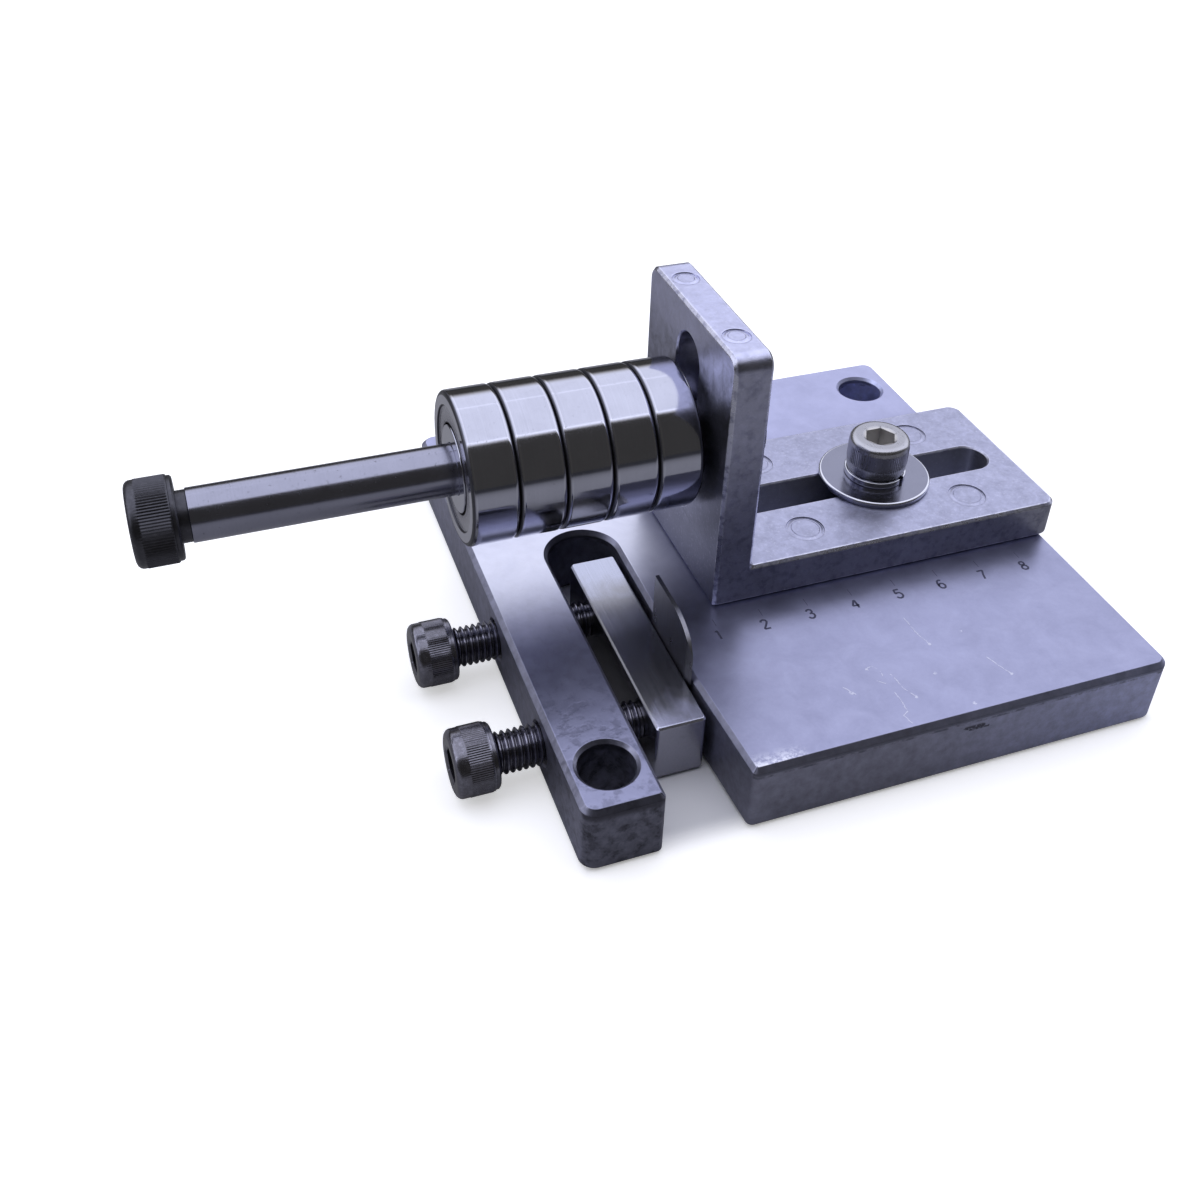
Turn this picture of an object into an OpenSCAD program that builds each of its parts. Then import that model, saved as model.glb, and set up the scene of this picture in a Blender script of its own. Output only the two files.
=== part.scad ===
// Bench strip cutter for leather.
// A slotted base plate carries a clamped upright blade. A sliding bracket beside the
// blade is the fence that sets the strip width, and it holds a long axle screw with a
// stack of ball bearings that roll on the leather.
// Origin: centre of the underside of the base plate. X runs along the axle, with the
// screw heads at -X, Y runs from the open end of the slot to the back, Z is up.

/* [Base plate] */
// Width of the base plate along the axle
base_w = 120; // [110:1:160]
// Depth of the base plate, front to back
base_d = 120; // [112:1:160]
// Thickness of the base plate
base_h = 15; // [14:0.5:22]
// Corner radius of the base plate seen from above
base_corner_r = 3; // [1.5:0.5:6]
// Bevel along the outer edges of the base plate
base_edge = 1; // [0.4:0.1:1.4]
// Width of the arm on the screw side of the slot
arm_w = 15; // [14:0.5:22]
// Width of the slot that holds the blade and the clamp block
slot_w = 15; // [13.5:0.5:20]
// Length of the slot from the front edge to its round end
slot_len = 74; // [70:1:80]
// Bevel along the upper rim of the slot
slot_edge = 0.8; // [0.3:0.1:1.2]
// How far the slot wall is relieved at the front edge, ahead of the blade
mouth_relief = 1.2; // [0.4:0.1:2]
// Diameter of the two bench mounting holes
mount_hole_d = 10.5; // [8:0.5:11]
// Bevel round the rim of the bench mounting holes
mount_hole_edge = 0.7; // [0.2:0.1:1]
// Front mounting hole: distance from the front edge
mount_front_y = 10; // [8.5:0.5:13]
// Back mounting hole: distance from the side edge
mount_back_x = 9; // [7.5:0.5:14]
// Back mounting hole: distance from the back edge
mount_back_y = 11.5; // [8:0.5:16]

/* [Blade and clamp block] */
// Thickness of the blade
blade_t = 0.8; // [0.5:0.1:1.4]
// Width of the blade, front to back
blade_w = 18.8; // [14:0.2:22]
// Height of the blade above the base plate
blade_proud = 10.3; // [6:0.1:12]
// Distance from the front edge of the base plate to the blade
blade_front = 24.8; // [22:0.2:30]
// Radius of the curved nose of the blade
blade_nose_r = 12; // [9:0.5:16]
// Length of the ground bevel at the front of the blade
blade_grind = 2.4; // [1:0.2:4]
// Width of the clamp block across the slot
block_w = 9.8; // [8:0.1:10.5]
// Length of the clamp block along the slot
block_l = 50; // [40:1:52]
// Setback of the clamp block from the front edge
block_front = 15.9; // [13:0.1:20]
// Drop of the block below the top of the base plate
block_drop = 1.5; // [0.5:0.1:3]
// Height of the block and the blade above the bench
block_lift = 0.6; // [0.3:0.1:1.5]
// Bevel along the edges of the clamp block
block_edge = 0.4; // [0.1:0.1:0.8]

/* [Clamp screws] */
// Thread diameter of the two clamp screws
clamp_d = 8; // [6:1:8]
// Head diameter of the clamp screws
clamp_head_d = 13; // [12:0.5:14]
// Head length of the clamp screws
clamp_head_h = 8; // [6:0.1:9]
// Hexagon across flats in the clamp screw heads
clamp_hex = 6; // [4:1:7]
// Length of the clamp screws under the head
clamp_l = 28.2; // [27:0.2:36]
// Distance from the front edge to the front clamp screw
clamp_front_y = 25; // [24:0.5:32]
// Distance between the two clamp screws
clamp_pitch = 29.7; // [20:0.1:34]

/* [Fence bracket] */
// Distance from the cutting plane to the fence
strip_w = 11.5; // [6:0.5:30]
// Length of the bracket along the axle
fence_l = 80; // [70:1:90]
// Width of the bracket, front to back
fence_w = 41.2; // [36:0.2:50]
// Thickness of the foot that lies on the base plate
foot_t = 8.5; // [6:0.5:10]
// Thickness of the upright
upright_t = 7.8; // [6:0.1:9]
// Height of the upright above the base plate
upright_h = 56.5; // [52:0.5:70]
// Corner radius of the bracket
fence_corner_r = 3; // [1.5:0.5:6]
// Bevel along the edges of the bracket
fence_edge = 0.6; // [0.2:0.1:1]
// Distance from the front edge of the base plate to the middle of the bracket
fence_y = 62.8; // [60:0.2:66]
// Width of the slot in the foot
foot_slot_w = 8.6; // [8.4:0.1:11]
// Wall between the foot slot and the free end of the foot
foot_slot_end = 5.2; // [3:0.2:8]
// Distance from the upright to the start of the foot slot
foot_slot_start = 4.5; // [4:0.5:12]
// Width of the slot in the upright
upright_slot_w = 10.6; // [10.3:0.1:12]
// Wall between the upright slot and the top of the upright
upright_slot_top = 5.5; // [4:0.5:9]
// Diameter of the ejector marks on the foot
foot_mark_d = 8; // [4:0.5:9]
// Diameter of the ejector marks on the upright
upright_mark_d = 5.6; // [3:0.2:6]
// Depth of the ejector marks
mark_depth = 0.3; // [0.1:0.1:0.6]

/* [Lock screw] */
// Thread diameter of the lock screw
lock_d = 8; // [6:1:8]
// Head diameter of the lock screw
lock_head_d = 13; // [12:0.5:15]
// Head height of the lock screw
lock_head_h = 8; // [6:0.5:9]
// Hexagon across flats in the lock screw head
lock_hex = 6; // [4:1:7]
// Length of the lock screw under the head
lock_l = 20; // [16:1:22]
// Distance from the cutting plane to the lock screw
lock_x = 58; // [56:0.5:64]
// Outside diameter of the flat washer
flat_washer_d = 24; // [18:0.5:26]
// Thickness of the flat washer
flat_washer_t = 1.2; // [0.8:0.1:2]
// Outside diameter of the split spring washer
spring_washer_d = 13.2; // [12:0.1:15]
// Thickness of the split spring washer
spring_washer_t = 1.4; // [1:0.1:2.4]
// Width of the split in the spring washer
spring_washer_split = 1.2; // [0.6:0.1:2]

/* [Axle screw] */
// Diameter of the axle screw
axle_d = 10; // [8:0.5:10]
// Length of the axle screw under the head
axle_l = 111.1; // [100:0.1:120]
// Head diameter of the axle screw
axle_head_d = 16; // [14:0.5:20]
// Head length of the axle screw
axle_head_h = 8.2; // [7:0.2:12]
// Hexagon across flats in the axle screw head
axle_hex = 8; // [5:1:8]
// Height of the axle above the base plate
axle_z = 29.8; // [20:0.2:40]
// Diameter of the dark neck under the head
axle_neck_d = 9.7; // [7:0.1:9.9]
// Length of the dark neck under the head
axle_neck_l = 2.5; // [1:0.5:5]
// How far the axle screw reaches past the nut
axle_tail = 0.4; // [0.2:0.1:3]
// Across flats of the thin nut on the axle screw
nut_flats = 17; // [15:0.5:17]
// Thickness of the thin nut
nut_t = 5; // [4:0.5:6]
// Outside diameter of the washers on the axle screw
axle_washer_d = 17.6; // [14:0.2:18]
// Thickness of the washers on the axle screw
axle_washer_t = 1.6; // [1:0.1:2.5]

/* [Bearings] */
// Number of ball bearings on the axle screw
bearing_count = 5; // [1:1:5]
// Outside diameter of a bearing
bearing_od = 30; // [28:0.5:32]
// Width of a bearing
bearing_w = 9; // [8:0.5:9]
// Wall of the inner ring beside its ball groove
inner_wall = 3.5; // [3:0.1:3.8]
// Wall of the outer ring beside its ball groove
outer_wall = 2.8; // [2.4:0.1:3.2]
// Diameter of a ball
ball_d = 4.76; // [4:0.02:5]
// Number of balls in a bearing
ball_count = 8; // [5:1:8]
// Bevel on the corners of the outer ring
bearing_edge = 0.7; // [0.2:0.1:1]
// Bevel on the corners of the inner ring
inner_edge = 0.4; // [0.1:0.1:0.6]
// Thickness of a bearing shield
shield_t = 0.4; // [0.2:0.1:0.6]
// How far a shield lies below the end face
shield_inset = 0.3; // [0.1:0.1:0.6]

/* [Clearances] */
// Radial clearance of a screw in its threaded hole
thread_clear = 0.05; // [0.02:0.01:0.2]
// Radial clearance of a bearing on the axle screw
bore_clear = 0.03; // [0.02:0.01:0.1]
// Radial clearance of a ball in its groove
ball_clear = 0.06; // [0.03:0.01:0.12]
// Radial clearance of a washer hole round its screw
washer_clear = 0.2; // [0.1:0.05:0.5]
// Clearance on each side of the blade
blade_clear = 0.03; // [0.01:0.01:0.1]
// Gap between two bearings in the stack
stack_gap = 0.02; // [0:0.01:0.1]

/* [Hidden] */
// one overrun for every cut
over = 1;
// facets of a full circle
$fn = 64;

// where the parts lie
left_x = -base_w / 2;
front_y = -base_d / 2;
wall_x = left_x + arm_w + slot_w;
slot_mid_x = left_x + arm_w + slot_w / 2;
slot_end_y = front_y + slot_len - slot_w / 2;
mid_z = base_h / 2;
row_y = front_y + fence_y;

// blade and clamp block
blade_x = wall_x - blade_clear - blade_t / 2;
blade_y = front_y + blade_front;
blade_top = base_h + blade_proud;
nose_reach = sqrt(pow(blade_nose_r, 2) - pow(blade_nose_r - blade_proud / 2, 2));
block_x = wall_x - 2 * blade_clear - blade_t - block_w;
block_y = front_y + block_front;
block_h = base_h - block_drop - block_lift;

// clamp screws: the tip rests on the clamp block
clamp_tip_x = block_x;
clamp_seat_x = clamp_tip_x - clamp_l;
clamp_y1 = front_y + clamp_front_y;
clamp_y2 = clamp_y1 + clamp_pitch;
screw_edge_share = 0.07;
socket_depth_share = 0.55;

// fence bracket
fence_x = wall_x + strip_w;
foot_end_x = fence_x + fence_l;
upright_x = fence_x + upright_t;
foot_slot_x1 = upright_x + foot_slot_start + foot_slot_w / 2;
foot_slot_x2 = foot_end_x - foot_slot_end - foot_slot_w / 2;
nut_drop = 0.3;
axle_low = foot_t + axle_washer_d / 2 + nut_drop;
upright_slot_z1 = base_h + axle_low;
upright_slot_z2 = base_h + upright_h - upright_slot_top - upright_slot_w / 2;
mark_in_share = 0.296;
mark_out_share = 0.78;
mark_side_share = 0.3;
upright_mark_share = 0.29;

// lock screw
lock_at_x = wall_x + lock_x;
flat_washer_z = base_h + foot_t;
spring_washer_z = flat_washer_z + flat_washer_t;
lock_seat_z = spring_washer_z + spring_washer_t;

// axle row, from the nut towards the head
axle_at_z = base_h + axle_z;
axle_tip_x = upright_x + axle_washer_t + nut_t + axle_tail;
axle_seat_x = axle_tip_x - axle_l;
stack_x = fence_x - axle_washer_t;
bearing_pitch = bearing_w + stack_gap;

// inside a bearing
inner_shoulder_d = axle_d + 2 * inner_wall;
outer_shoulder_d = bearing_od - 2 * outer_wall;
race_r = (inner_shoulder_d + outer_shoulder_d) / 4;
shield_seat = shield_inset + shield_t;
shield_step = 0.5;
shield_run = 0.3;
cage_wall = 0.6;
cage_inner_share = 0.3;
cage_outer_share = 0.75;

bearings = [for (k = [1:bearing_count]) k];

// Section of a slab of width w and height h, centred on x, with bevelled edges e.
module slab_section(w, h, e) {
    polygon([[-w / 2, e], [-w / 2 + e, 0], [w / 2 - e, 0], [w / 2, e],
             [w / 2, h - e], [w / 2 - e, h], [-w / 2 + e, h], [-w / 2, h - e]]);
}

// Slab w by d by h centred on the origin, with corner radius r and bevelled edges e.
module slab(w, d, h, r, e) {
    rotate([90, 0, 0]) linear_extrude(d - 2 * r, center = true) slab_section(w, h, e);
    rotate([90, 0, 90]) linear_extrude(w - 2 * r, center = true) slab_section(d, h, e);
    for (sx = [-1, 1], sy = [-1, 1])
        translate([sx * (w / 2 - r), sy * (d / 2 - r), 0])
            rotate_extrude()
                polygon([[0, 0], [r - e, 0], [r, e], [r, h - e], [r - e, h], [0, h]]);
}

// Round bar along Z from z1 to z2, with bevels e1 and e2 at its two ends.
module bar(z1, z2, r, e1, e2) {
    rotate_extrude()
        polygon([[0, z1], [r - e1, z1], [r, z1 + e1], [r, z2 - e2], [r - e2, z2], [0, z2]]);
}

// Flat ring along Z from z1 to z2 between two radii, with bevel e on its outer edge.
module ring(z1, z2, r_in, r_out, e) {
    rotate_extrude()
        polygon([[r_in, z1], [r_out - e, z1], [r_out, z1 + e],
                 [r_out, z2 - e], [r_out - e, z2], [r_in, z2]]);
}

// Socket-head screw along Z. The seat under the head is at z = 0 and the tip at -l.
module cap_screw(d, l, head_d, head_h, hex) {
    edge = head_d * screw_edge_share;
    difference() {
        union() {
            bar(0, head_h, head_d / 2, edge / 2, edge);
            bar(-l, head_h / 2, d / 2, edge, 0);
        }
        translate([0, 0, head_h * (1 - socket_depth_share)])
            cylinder(h = head_h, d = hex / cos(30), $fn = 6);
    }
}

// Bevelled round hole down through the base plate.
module mount_hole(x, y) {
    translate([x, y, -over]) cylinder(h = base_h + 2 * over, d = mount_hole_d);
    translate([x, y, base_h - mount_hole_edge])
        cylinder(h = mount_hole_edge + over, d1 = mount_hole_d,
                 d2 = mount_hole_d + 2 * (mount_hole_edge + over));
}

// The open slot: straight sides, a round end, a bevelled rim and a relieved mouth.
module blade_slot() {
    run = slot_end_y - front_y + over;
    translate([slot_mid_x, slot_end_y, -over]) cylinder(h = base_h + 2 * over, d = slot_w);
    translate([slot_mid_x - slot_w / 2, front_y - over, -over])
        cube([slot_w, run, base_h + 2 * over]);
    translate([slot_mid_x, slot_end_y, base_h - slot_edge])
        cylinder(h = slot_edge + over, d1 = slot_w, d2 = slot_w + 2 * (slot_edge + over));
    translate([slot_mid_x, slot_end_y, base_h - slot_edge])
        rotate([90, 0, 0]) linear_extrude(run)
            polygon([[-slot_w / 2, 0], [slot_w / 2, 0],
                     [slot_w / 2 + slot_edge + over, slot_edge + over],
                     [-slot_w / 2 - slot_edge - over, slot_edge + over]]);
    translate([0, 0, -over]) linear_extrude(base_h + 2 * over)
        polygon([[wall_x - over, front_y - over], [wall_x + mouth_relief, front_y - over],
                 [wall_x + mouth_relief, front_y], [wall_x, blade_y], [wall_x - over, blade_y]]);
}

module base_plate() {
    color("#aab0d0") difference() {
        slab(base_w, base_d, base_h, base_corner_r, base_edge);
        blade_slot();
        mount_hole(left_x + arm_w / 2, front_y + mount_front_y);
        mount_hole(base_w / 2 - mount_back_x, base_d / 2 - mount_back_y);
        for (y = [clamp_y1, clamp_y2])
            translate([left_x - over, y, mid_z]) rotate([0, 90, 0])
                cylinder(h = arm_w + 2 * over, r = clamp_d / 2 + thread_clear);
        translate([lock_at_x, row_y, -over])
            cylinder(h = base_h + 2 * over, r = lock_d / 2 + thread_clear);
    }
}

module clamp_block() {
    color("#8f94b4")
        translate([block_x + block_w / 2, block_y + block_l / 2, block_lift])
            slab(block_w, block_l, block_h, 2 * block_edge, block_edge);
}

// Flat blade with a curved nose at the top of its ground front edge.
module blade() {
    color("#4a4c58") intersection() {
        translate([blade_x - blade_t / 2, blade_y, 0]) rotate([90, 0, 90])
            linear_extrude(blade_t) union() {
                translate([0, block_lift])
                    square([blade_w, blade_top - blade_nose_r - block_lift]);
                translate([nose_reach, block_lift])
                    square([blade_w - nose_reach, blade_top - block_lift]);
                intersection() {
                    translate([nose_reach, blade_top - blade_nose_r]) circle(r = blade_nose_r);
                    translate([0, block_lift]) square([blade_w, blade_top - block_lift]);
                }
            }
        linear_extrude(blade_top + over)
            polygon([[blade_x, blade_y], [blade_x + blade_t / 2, blade_y + blade_grind],
                     [blade_x + blade_t / 2, blade_y + blade_w],
                     [blade_x - blade_t / 2, blade_y + blade_w],
                     [blade_x - blade_t / 2, blade_y + blade_grind]]);
    }
}

module clamp_screw(y) {
    color("#3d3d48") translate([clamp_seat_x, y, mid_z]) rotate([0, -90, 0])
        cap_screw(clamp_d, clamp_l, clamp_head_d, clamp_head_h, clamp_hex);
}

// Blind round mark cut down into a face at height z.
module mark(x, y, z, d) {
    translate([x, y, z - mark_depth]) cylinder(h = mark_depth + over, d = d);
}

// Foot of the bracket. Its inner end is cut square inside the upright.
module bracket_foot() {
    spare = 2 * fence_corner_r;
    intersection() {
        translate([fence_x + (fence_l - spare) / 2, row_y, base_h])
            slab(fence_l + spare, fence_w, foot_t, fence_corner_r, fence_edge);
        translate([fence_x + fence_edge, front_y, base_h - over])
            cube([fence_l, base_d, foot_t + 2 * over]);
    }
}

// Upright of the bracket. Its lower end is cut square where it stands on the plate.
module bracket_upright() {
    spare = 2 * fence_corner_r;
    intersection() {
        translate([fence_x, row_y, base_h + (upright_h - spare) / 2]) rotate([0, 90, 0])
            slab(upright_h + spare, fence_w, upright_t, fence_corner_r, fence_edge);
        translate([fence_x - over, front_y, base_h])
            cube([upright_t + 2 * over, base_d, upright_h + over]);
    }
}

module fence_bracket() {
    color("#a3a8c6") difference() {
        union() {
            bracket_foot();
            bracket_upright();
        }
        for (x = [foot_slot_x1, foot_slot_x2])
            translate([x, row_y, base_h - over]) cylinder(h = foot_t + 2 * over, d = foot_slot_w);
        translate([foot_slot_x1, row_y - foot_slot_w / 2, base_h - over])
            cube([foot_slot_x2 - foot_slot_x1, foot_slot_w, foot_t + 2 * over]);
        for (z = [upright_slot_z1, upright_slot_z2])
            translate([fence_x - over, row_y, z]) rotate([0, 90, 0])
                cylinder(h = upright_t + 2 * over, d = upright_slot_w);
        translate([fence_x - over, row_y - upright_slot_w / 2, upright_slot_z1])
            cube([upright_t + 2 * over, upright_slot_w, upright_slot_z2 - upright_slot_z1]);
        for (x = [mark_in_share, mark_out_share], s = [-1, 1])
            mark(fence_x + fence_l * x, row_y + s * fence_w * mark_side_share,
                 base_h + foot_t, foot_mark_d);
        for (s = [-1, 1])
            mark(fence_x + upright_t / 2, row_y + s * fence_w * upright_mark_share,
                 base_h + upright_h, upright_mark_d);
    }
}

module lock_screw() {
    color("#b9bcc8") translate([lock_at_x, row_y, lock_seat_z])
        cap_screw(lock_d, lock_l, lock_head_d, lock_head_h, lock_hex);
}

module lock_spring_washer() {
    color("#b0b3c0") translate([lock_at_x, row_y, spring_washer_z]) difference() {
        ring(0, spring_washer_t, lock_d / 2 + washer_clear, spring_washer_d / 2, 0);
        rotate([0, 0, -60]) translate([0, -spring_washer_split / 2, -over])
            cube([spring_washer_d, spring_washer_split, spring_washer_t + 2 * over]);
    }
}

module lock_flat_washer() {
    color("#c4c7d6") translate([lock_at_x, row_y, flat_washer_z])
        ring(0, flat_washer_t, lock_d / 2 + washer_clear, flat_washer_d / 2,
             flat_washer_t / 4);
}

// Axle screw along X: knurled head, dark neck and a long plain shank.
module axle_screw() {
    edge = axle_head_d * screw_edge_share;
    color("#2e2e3a") translate([axle_seat_x, row_y, axle_at_z]) rotate([0, -90, 0])
        difference() {
            union() {
                bar(0, axle_head_h, axle_head_d / 2, edge / 2, edge);
                bar(-axle_neck_l - over, axle_head_h / 2, axle_neck_d / 2, 0, 0);
                bar(-axle_l, -axle_neck_l, axle_d / 2, edge, 0);
            }
            translate([0, 0, axle_head_h * (1 - socket_depth_share)])
                cylinder(h = axle_head_h, d = axle_hex / cos(30), $fn = 6);
        }
}

module axle_nut() {
    color("#55565f") translate([upright_x + axle_washer_t, row_y, axle_at_z])
        rotate([0, 90, 0]) difference() {
            intersection() {
                rotate([0, 0, 30]) cylinder(h = nut_t, d = nut_flats / cos(30), $fn = 6);
                bar(0, nut_t, nut_flats / cos(30) / 2, nut_t / 8, nut_t / 8);
            }
            translate([0, 0, -over])
                cylinder(h = nut_t + 2 * over, r = axle_d / 2 + thread_clear);
        }
}

module axle_ring(x) {
    color("#9a9ca8") translate([x, row_y, axle_at_z]) rotate([0, 90, 0])
        ring(0, axle_washer_t, axle_d / 2 + washer_clear, axle_washer_d / 2,
             axle_washer_t / 8);
}

// Puts a bearing part, made round Z and centred on z = 0, at place k of the stack,
// where 1 is the bearing nearest the screw head.
module in_stack(k) {
    x = stack_x - (bearing_count - k) * bearing_pitch - bearing_w / 2;
    translate([x, row_y, axle_at_z]) rotate([0, 90, 0]) children();
}

module ball_groove() {
    rotate_extrude() translate([race_r, 0]) circle(r = ball_d / 2 + ball_clear);
}

module bearing_outer_ring(k) {
    half = bearing_w / 2;
    color("#8d90a8") in_stack(k) difference() {
        ring(-half, half, outer_shoulder_d / 2, bearing_od / 2, bearing_edge);
        ball_groove();
        for (end = [0, 1])
            mirror([0, 0, end]) translate([0, 0, half - shield_seat])
                cylinder(h = shield_seat + over, d = outer_shoulder_d + 2 * shield_step);
    }
}

module bearing_inner_ring(k) {
    half = bearing_w / 2;
    bore_r = axle_d / 2 + bore_clear;
    color("#9598ad") in_stack(k) difference() {
        ring(-half, half, bore_r, inner_shoulder_d / 2, inner_edge);
        ball_groove();
    }
}

module bearing_shields(k) {
    half = bearing_w / 2;
    color("#77798c") in_stack(k) for (s = [-1, 1])
        translate([0, 0, s * (half - shield_inset - shield_t / 2)])
            ring(-shield_t / 2, shield_t / 2, inner_shoulder_d / 2 + shield_run,
                 outer_shoulder_d / 2 + shield_step, 0);
}

module bearing_balls(k) {
    color("#d8d9e0") in_stack(k) for (i = [0:ball_count - 1])
        rotate([0, 0, i * 360 / ball_count]) translate([race_r, 0, 0]) sphere(d = ball_d);
}

// Cage ring with one round pocket for each ball.
module bearing_cage(k) {
    gap = (outer_shoulder_d - inner_shoulder_d) / 2;
    half = ball_d / 2 + ball_clear + cage_wall;
    color("#8a6f3c") in_stack(k) difference() {
        ring(-half, half, inner_shoulder_d / 2 + gap * cage_inner_share,
             inner_shoulder_d / 2 + gap * cage_outer_share, 0);
        for (i = [0:ball_count - 1])
            rotate([0, 90, i * 360 / ball_count])
                cylinder(h = outer_shoulder_d / 2, r = ball_d / 2 + ball_clear);
    }
}

base_plate();
clamp_block();
blade();
clamp_screw(clamp_y1);  // clamp_screw_front
clamp_screw(clamp_y2);  // clamp_screw_rear
fence_bracket();
lock_screw();
lock_spring_washer();
lock_flat_washer();
axle_screw();
axle_nut();
axle_ring(upright_x);  // axle_washer
axle_ring(stack_x);  // axle_spacer
for (k = bearings) {
    bearing_outer_ring(k);
    bearing_inner_ring(k);
    bearing_shields(k);
    bearing_balls(k);
    bearing_cage(k);
}
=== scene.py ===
import math

import bmesh
import bpy
import numpy as np
from mathutils import Matrix, Vector
from mathutils.geometry import tessellate_polygon


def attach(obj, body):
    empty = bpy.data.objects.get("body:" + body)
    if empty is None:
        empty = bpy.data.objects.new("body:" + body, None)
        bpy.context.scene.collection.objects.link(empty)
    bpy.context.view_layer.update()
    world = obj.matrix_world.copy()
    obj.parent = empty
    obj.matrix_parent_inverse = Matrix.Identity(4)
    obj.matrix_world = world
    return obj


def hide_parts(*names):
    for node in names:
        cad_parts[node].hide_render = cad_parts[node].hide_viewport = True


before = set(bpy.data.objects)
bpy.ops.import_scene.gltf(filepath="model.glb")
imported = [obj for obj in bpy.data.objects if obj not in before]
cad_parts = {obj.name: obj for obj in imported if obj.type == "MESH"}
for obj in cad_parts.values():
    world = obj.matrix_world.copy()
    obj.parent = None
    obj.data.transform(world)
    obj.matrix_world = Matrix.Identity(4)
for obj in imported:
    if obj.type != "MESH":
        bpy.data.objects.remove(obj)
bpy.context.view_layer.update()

# Lengths below are in millimetres, and a piece is brought to metres when its mesh is made.
MM = 0.001
TURN = 2 * math.pi

# Camera, from the photograph's vanishing points and the scale on the base plate
CAMERA_PLACE = (-0.11006, -0.19619, 0.18640)
CAMERA_YAW, CAMERA_PITCH, CAMERA_ROLL = 21.26, -35.45, 2.19
CAMERA_LENS = 39.378
CAMERA_SHIFT = (-0.01158, -0.0967)

# Studio: angles in degrees from straight up, positive towards the back
SOFTBOX_FRONT, SOFTBOX_BACK = -27.0, 68.0
SOFTBOX_FRONT_EDGE, SOFTBOX_BACK_EDGE = 2.5, 8.0
SOFTBOX_LEVEL, SOFTBOX_TINT = 1.4, (0.86, 0.88, 1.0, 1)
# Brighter tubes in the softbox: angle, half width, added level
STREAKS = ((-24.0, 1.6, 0.9), (36.0, 1.6, 0.5))
ROOM_LEVEL, ROOM_TINT = 0.043, (1.0, 0.96, 0.89, 1)
BACKDROP_IN_GLOSS = 0.02
WHITE = (1, 1, 1, 1)

# Floor: its half side in metres, its colour for the camera, its colours near and far off for
# everything else, the distances where these meet, and the light added for the camera
FLOOR_HALF = 4.0
FLOOR_SEEN = (0.9, 0.9, 0.9, 1)
FLOOR_NEAR, FLOOR_FAR = (0.36, 0.355, 0.345, 1), (0.05, 0.05, 0.05, 1)
FLOOR_FADE = (130.0, 620.0)
FLOOR_LIFT = 0.5

# Base plate
PLATE_W, PLATE_D, PLATE_H = 120.0, 120.0, 15.0
PLATE_CORNER, PLATE_EDGE = 3.0, 1.0
SLOT_LEFT, SLOT_RIGHT, SLOT_END = -45.0, -30.0, 14.0
SLOT_EDGE_SHARE = 0.8
# The slot's right wall leans out by the relief over the run to the front, from a wide bend on,
# and both of its front corners are rounded
MOUTH_RELIEF, MOUTH_RUN, MOUTH_BEND, MOUTH_ROUND = 1.2, 24.8, 30.0, 1.3
BENCH_HOLES = ((-52.5, -50.0), (51.0, 48.5))
BENCH_HOLE_R = 5.25
CLAMP_Y = (-35.0, -5.3)
MID_Z = 7.5
THREAD_HOLE_R = 4.05

# Clamp block: left, right, front, back, foot and top
BLOCK = (-40.66, -30.86, -44.1, 5.9, 0.6, 13.5)
BLOCK_CORNER, BLOCK_EDGE = 0.8, 0.4

# Fence bracket
FENCE_X, UPRIGHT_X, FOOT_END_X = -18.5, -10.7, 61.5
ROW_Y = 2.8
FENCE_FRONT, FENCE_BACK = -17.8, 23.4
FOOT_TOP, UPRIGHT_TOP = 23.5, 71.5
FENCE_CORNER, FENCE_EDGE = 3.0, 0.6
SLOT_BEVEL = 0.35
# Slots: middles of the two end circles, and their radius
FOOT_SLOT = (-1.9, 52.0, 4.3)
UPRIGHT_SLOT = (32.6, 60.7, 5.3)
# Ejector marks: distance from the middle line, radius, and places along the foot
TOP_MARK_Y, TOP_MARK_R = 11.95, 2.72
FOOT_MARK_Y, FOOT_MARK_R, FOOT_MARK_X = 12.36, 4.0, (5.18, 43.9)

# Standard screws. Heads: radius, height, hexagon across flats and its depth.
# Threads: radius at the crest, radius at the root, pitch.
M8_HEAD, M10_HEAD = (6.5, 8.0, 6.0, 4.4), (8.0, 8.2, 8.0, 4.5)
M8_THREAD, M10_THREAD = (4.0, 3.32, 1.25), (5.0, 4.2, 1.5)
# Places of the heads' seats, and how far the threads reach from them
CLAMP_SEAT_X, CLAMP_REACH = -68.86, 28.1
LOCK_X, LOCK_SEAT_Z, LOCK_REACH = 28.0, 26.1, 19.9
THREAD_START = 0.1

# Axle row: places of the head's seat, of nut, washer and spacer, and of the middle of the last
# bearing, with the step to the one before it, and how far the screw reaches from its seat
AXLE_Z = 44.8
AXLE_SEAT_X, AXLE_REACH = -114.8, 111.1
NUT_X, WASHER_X, SPACER_X = -9.1, -10.7, -20.1
BEARING_X, BEARING_STEP = -24.6, 9.02


# Shapes

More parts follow.
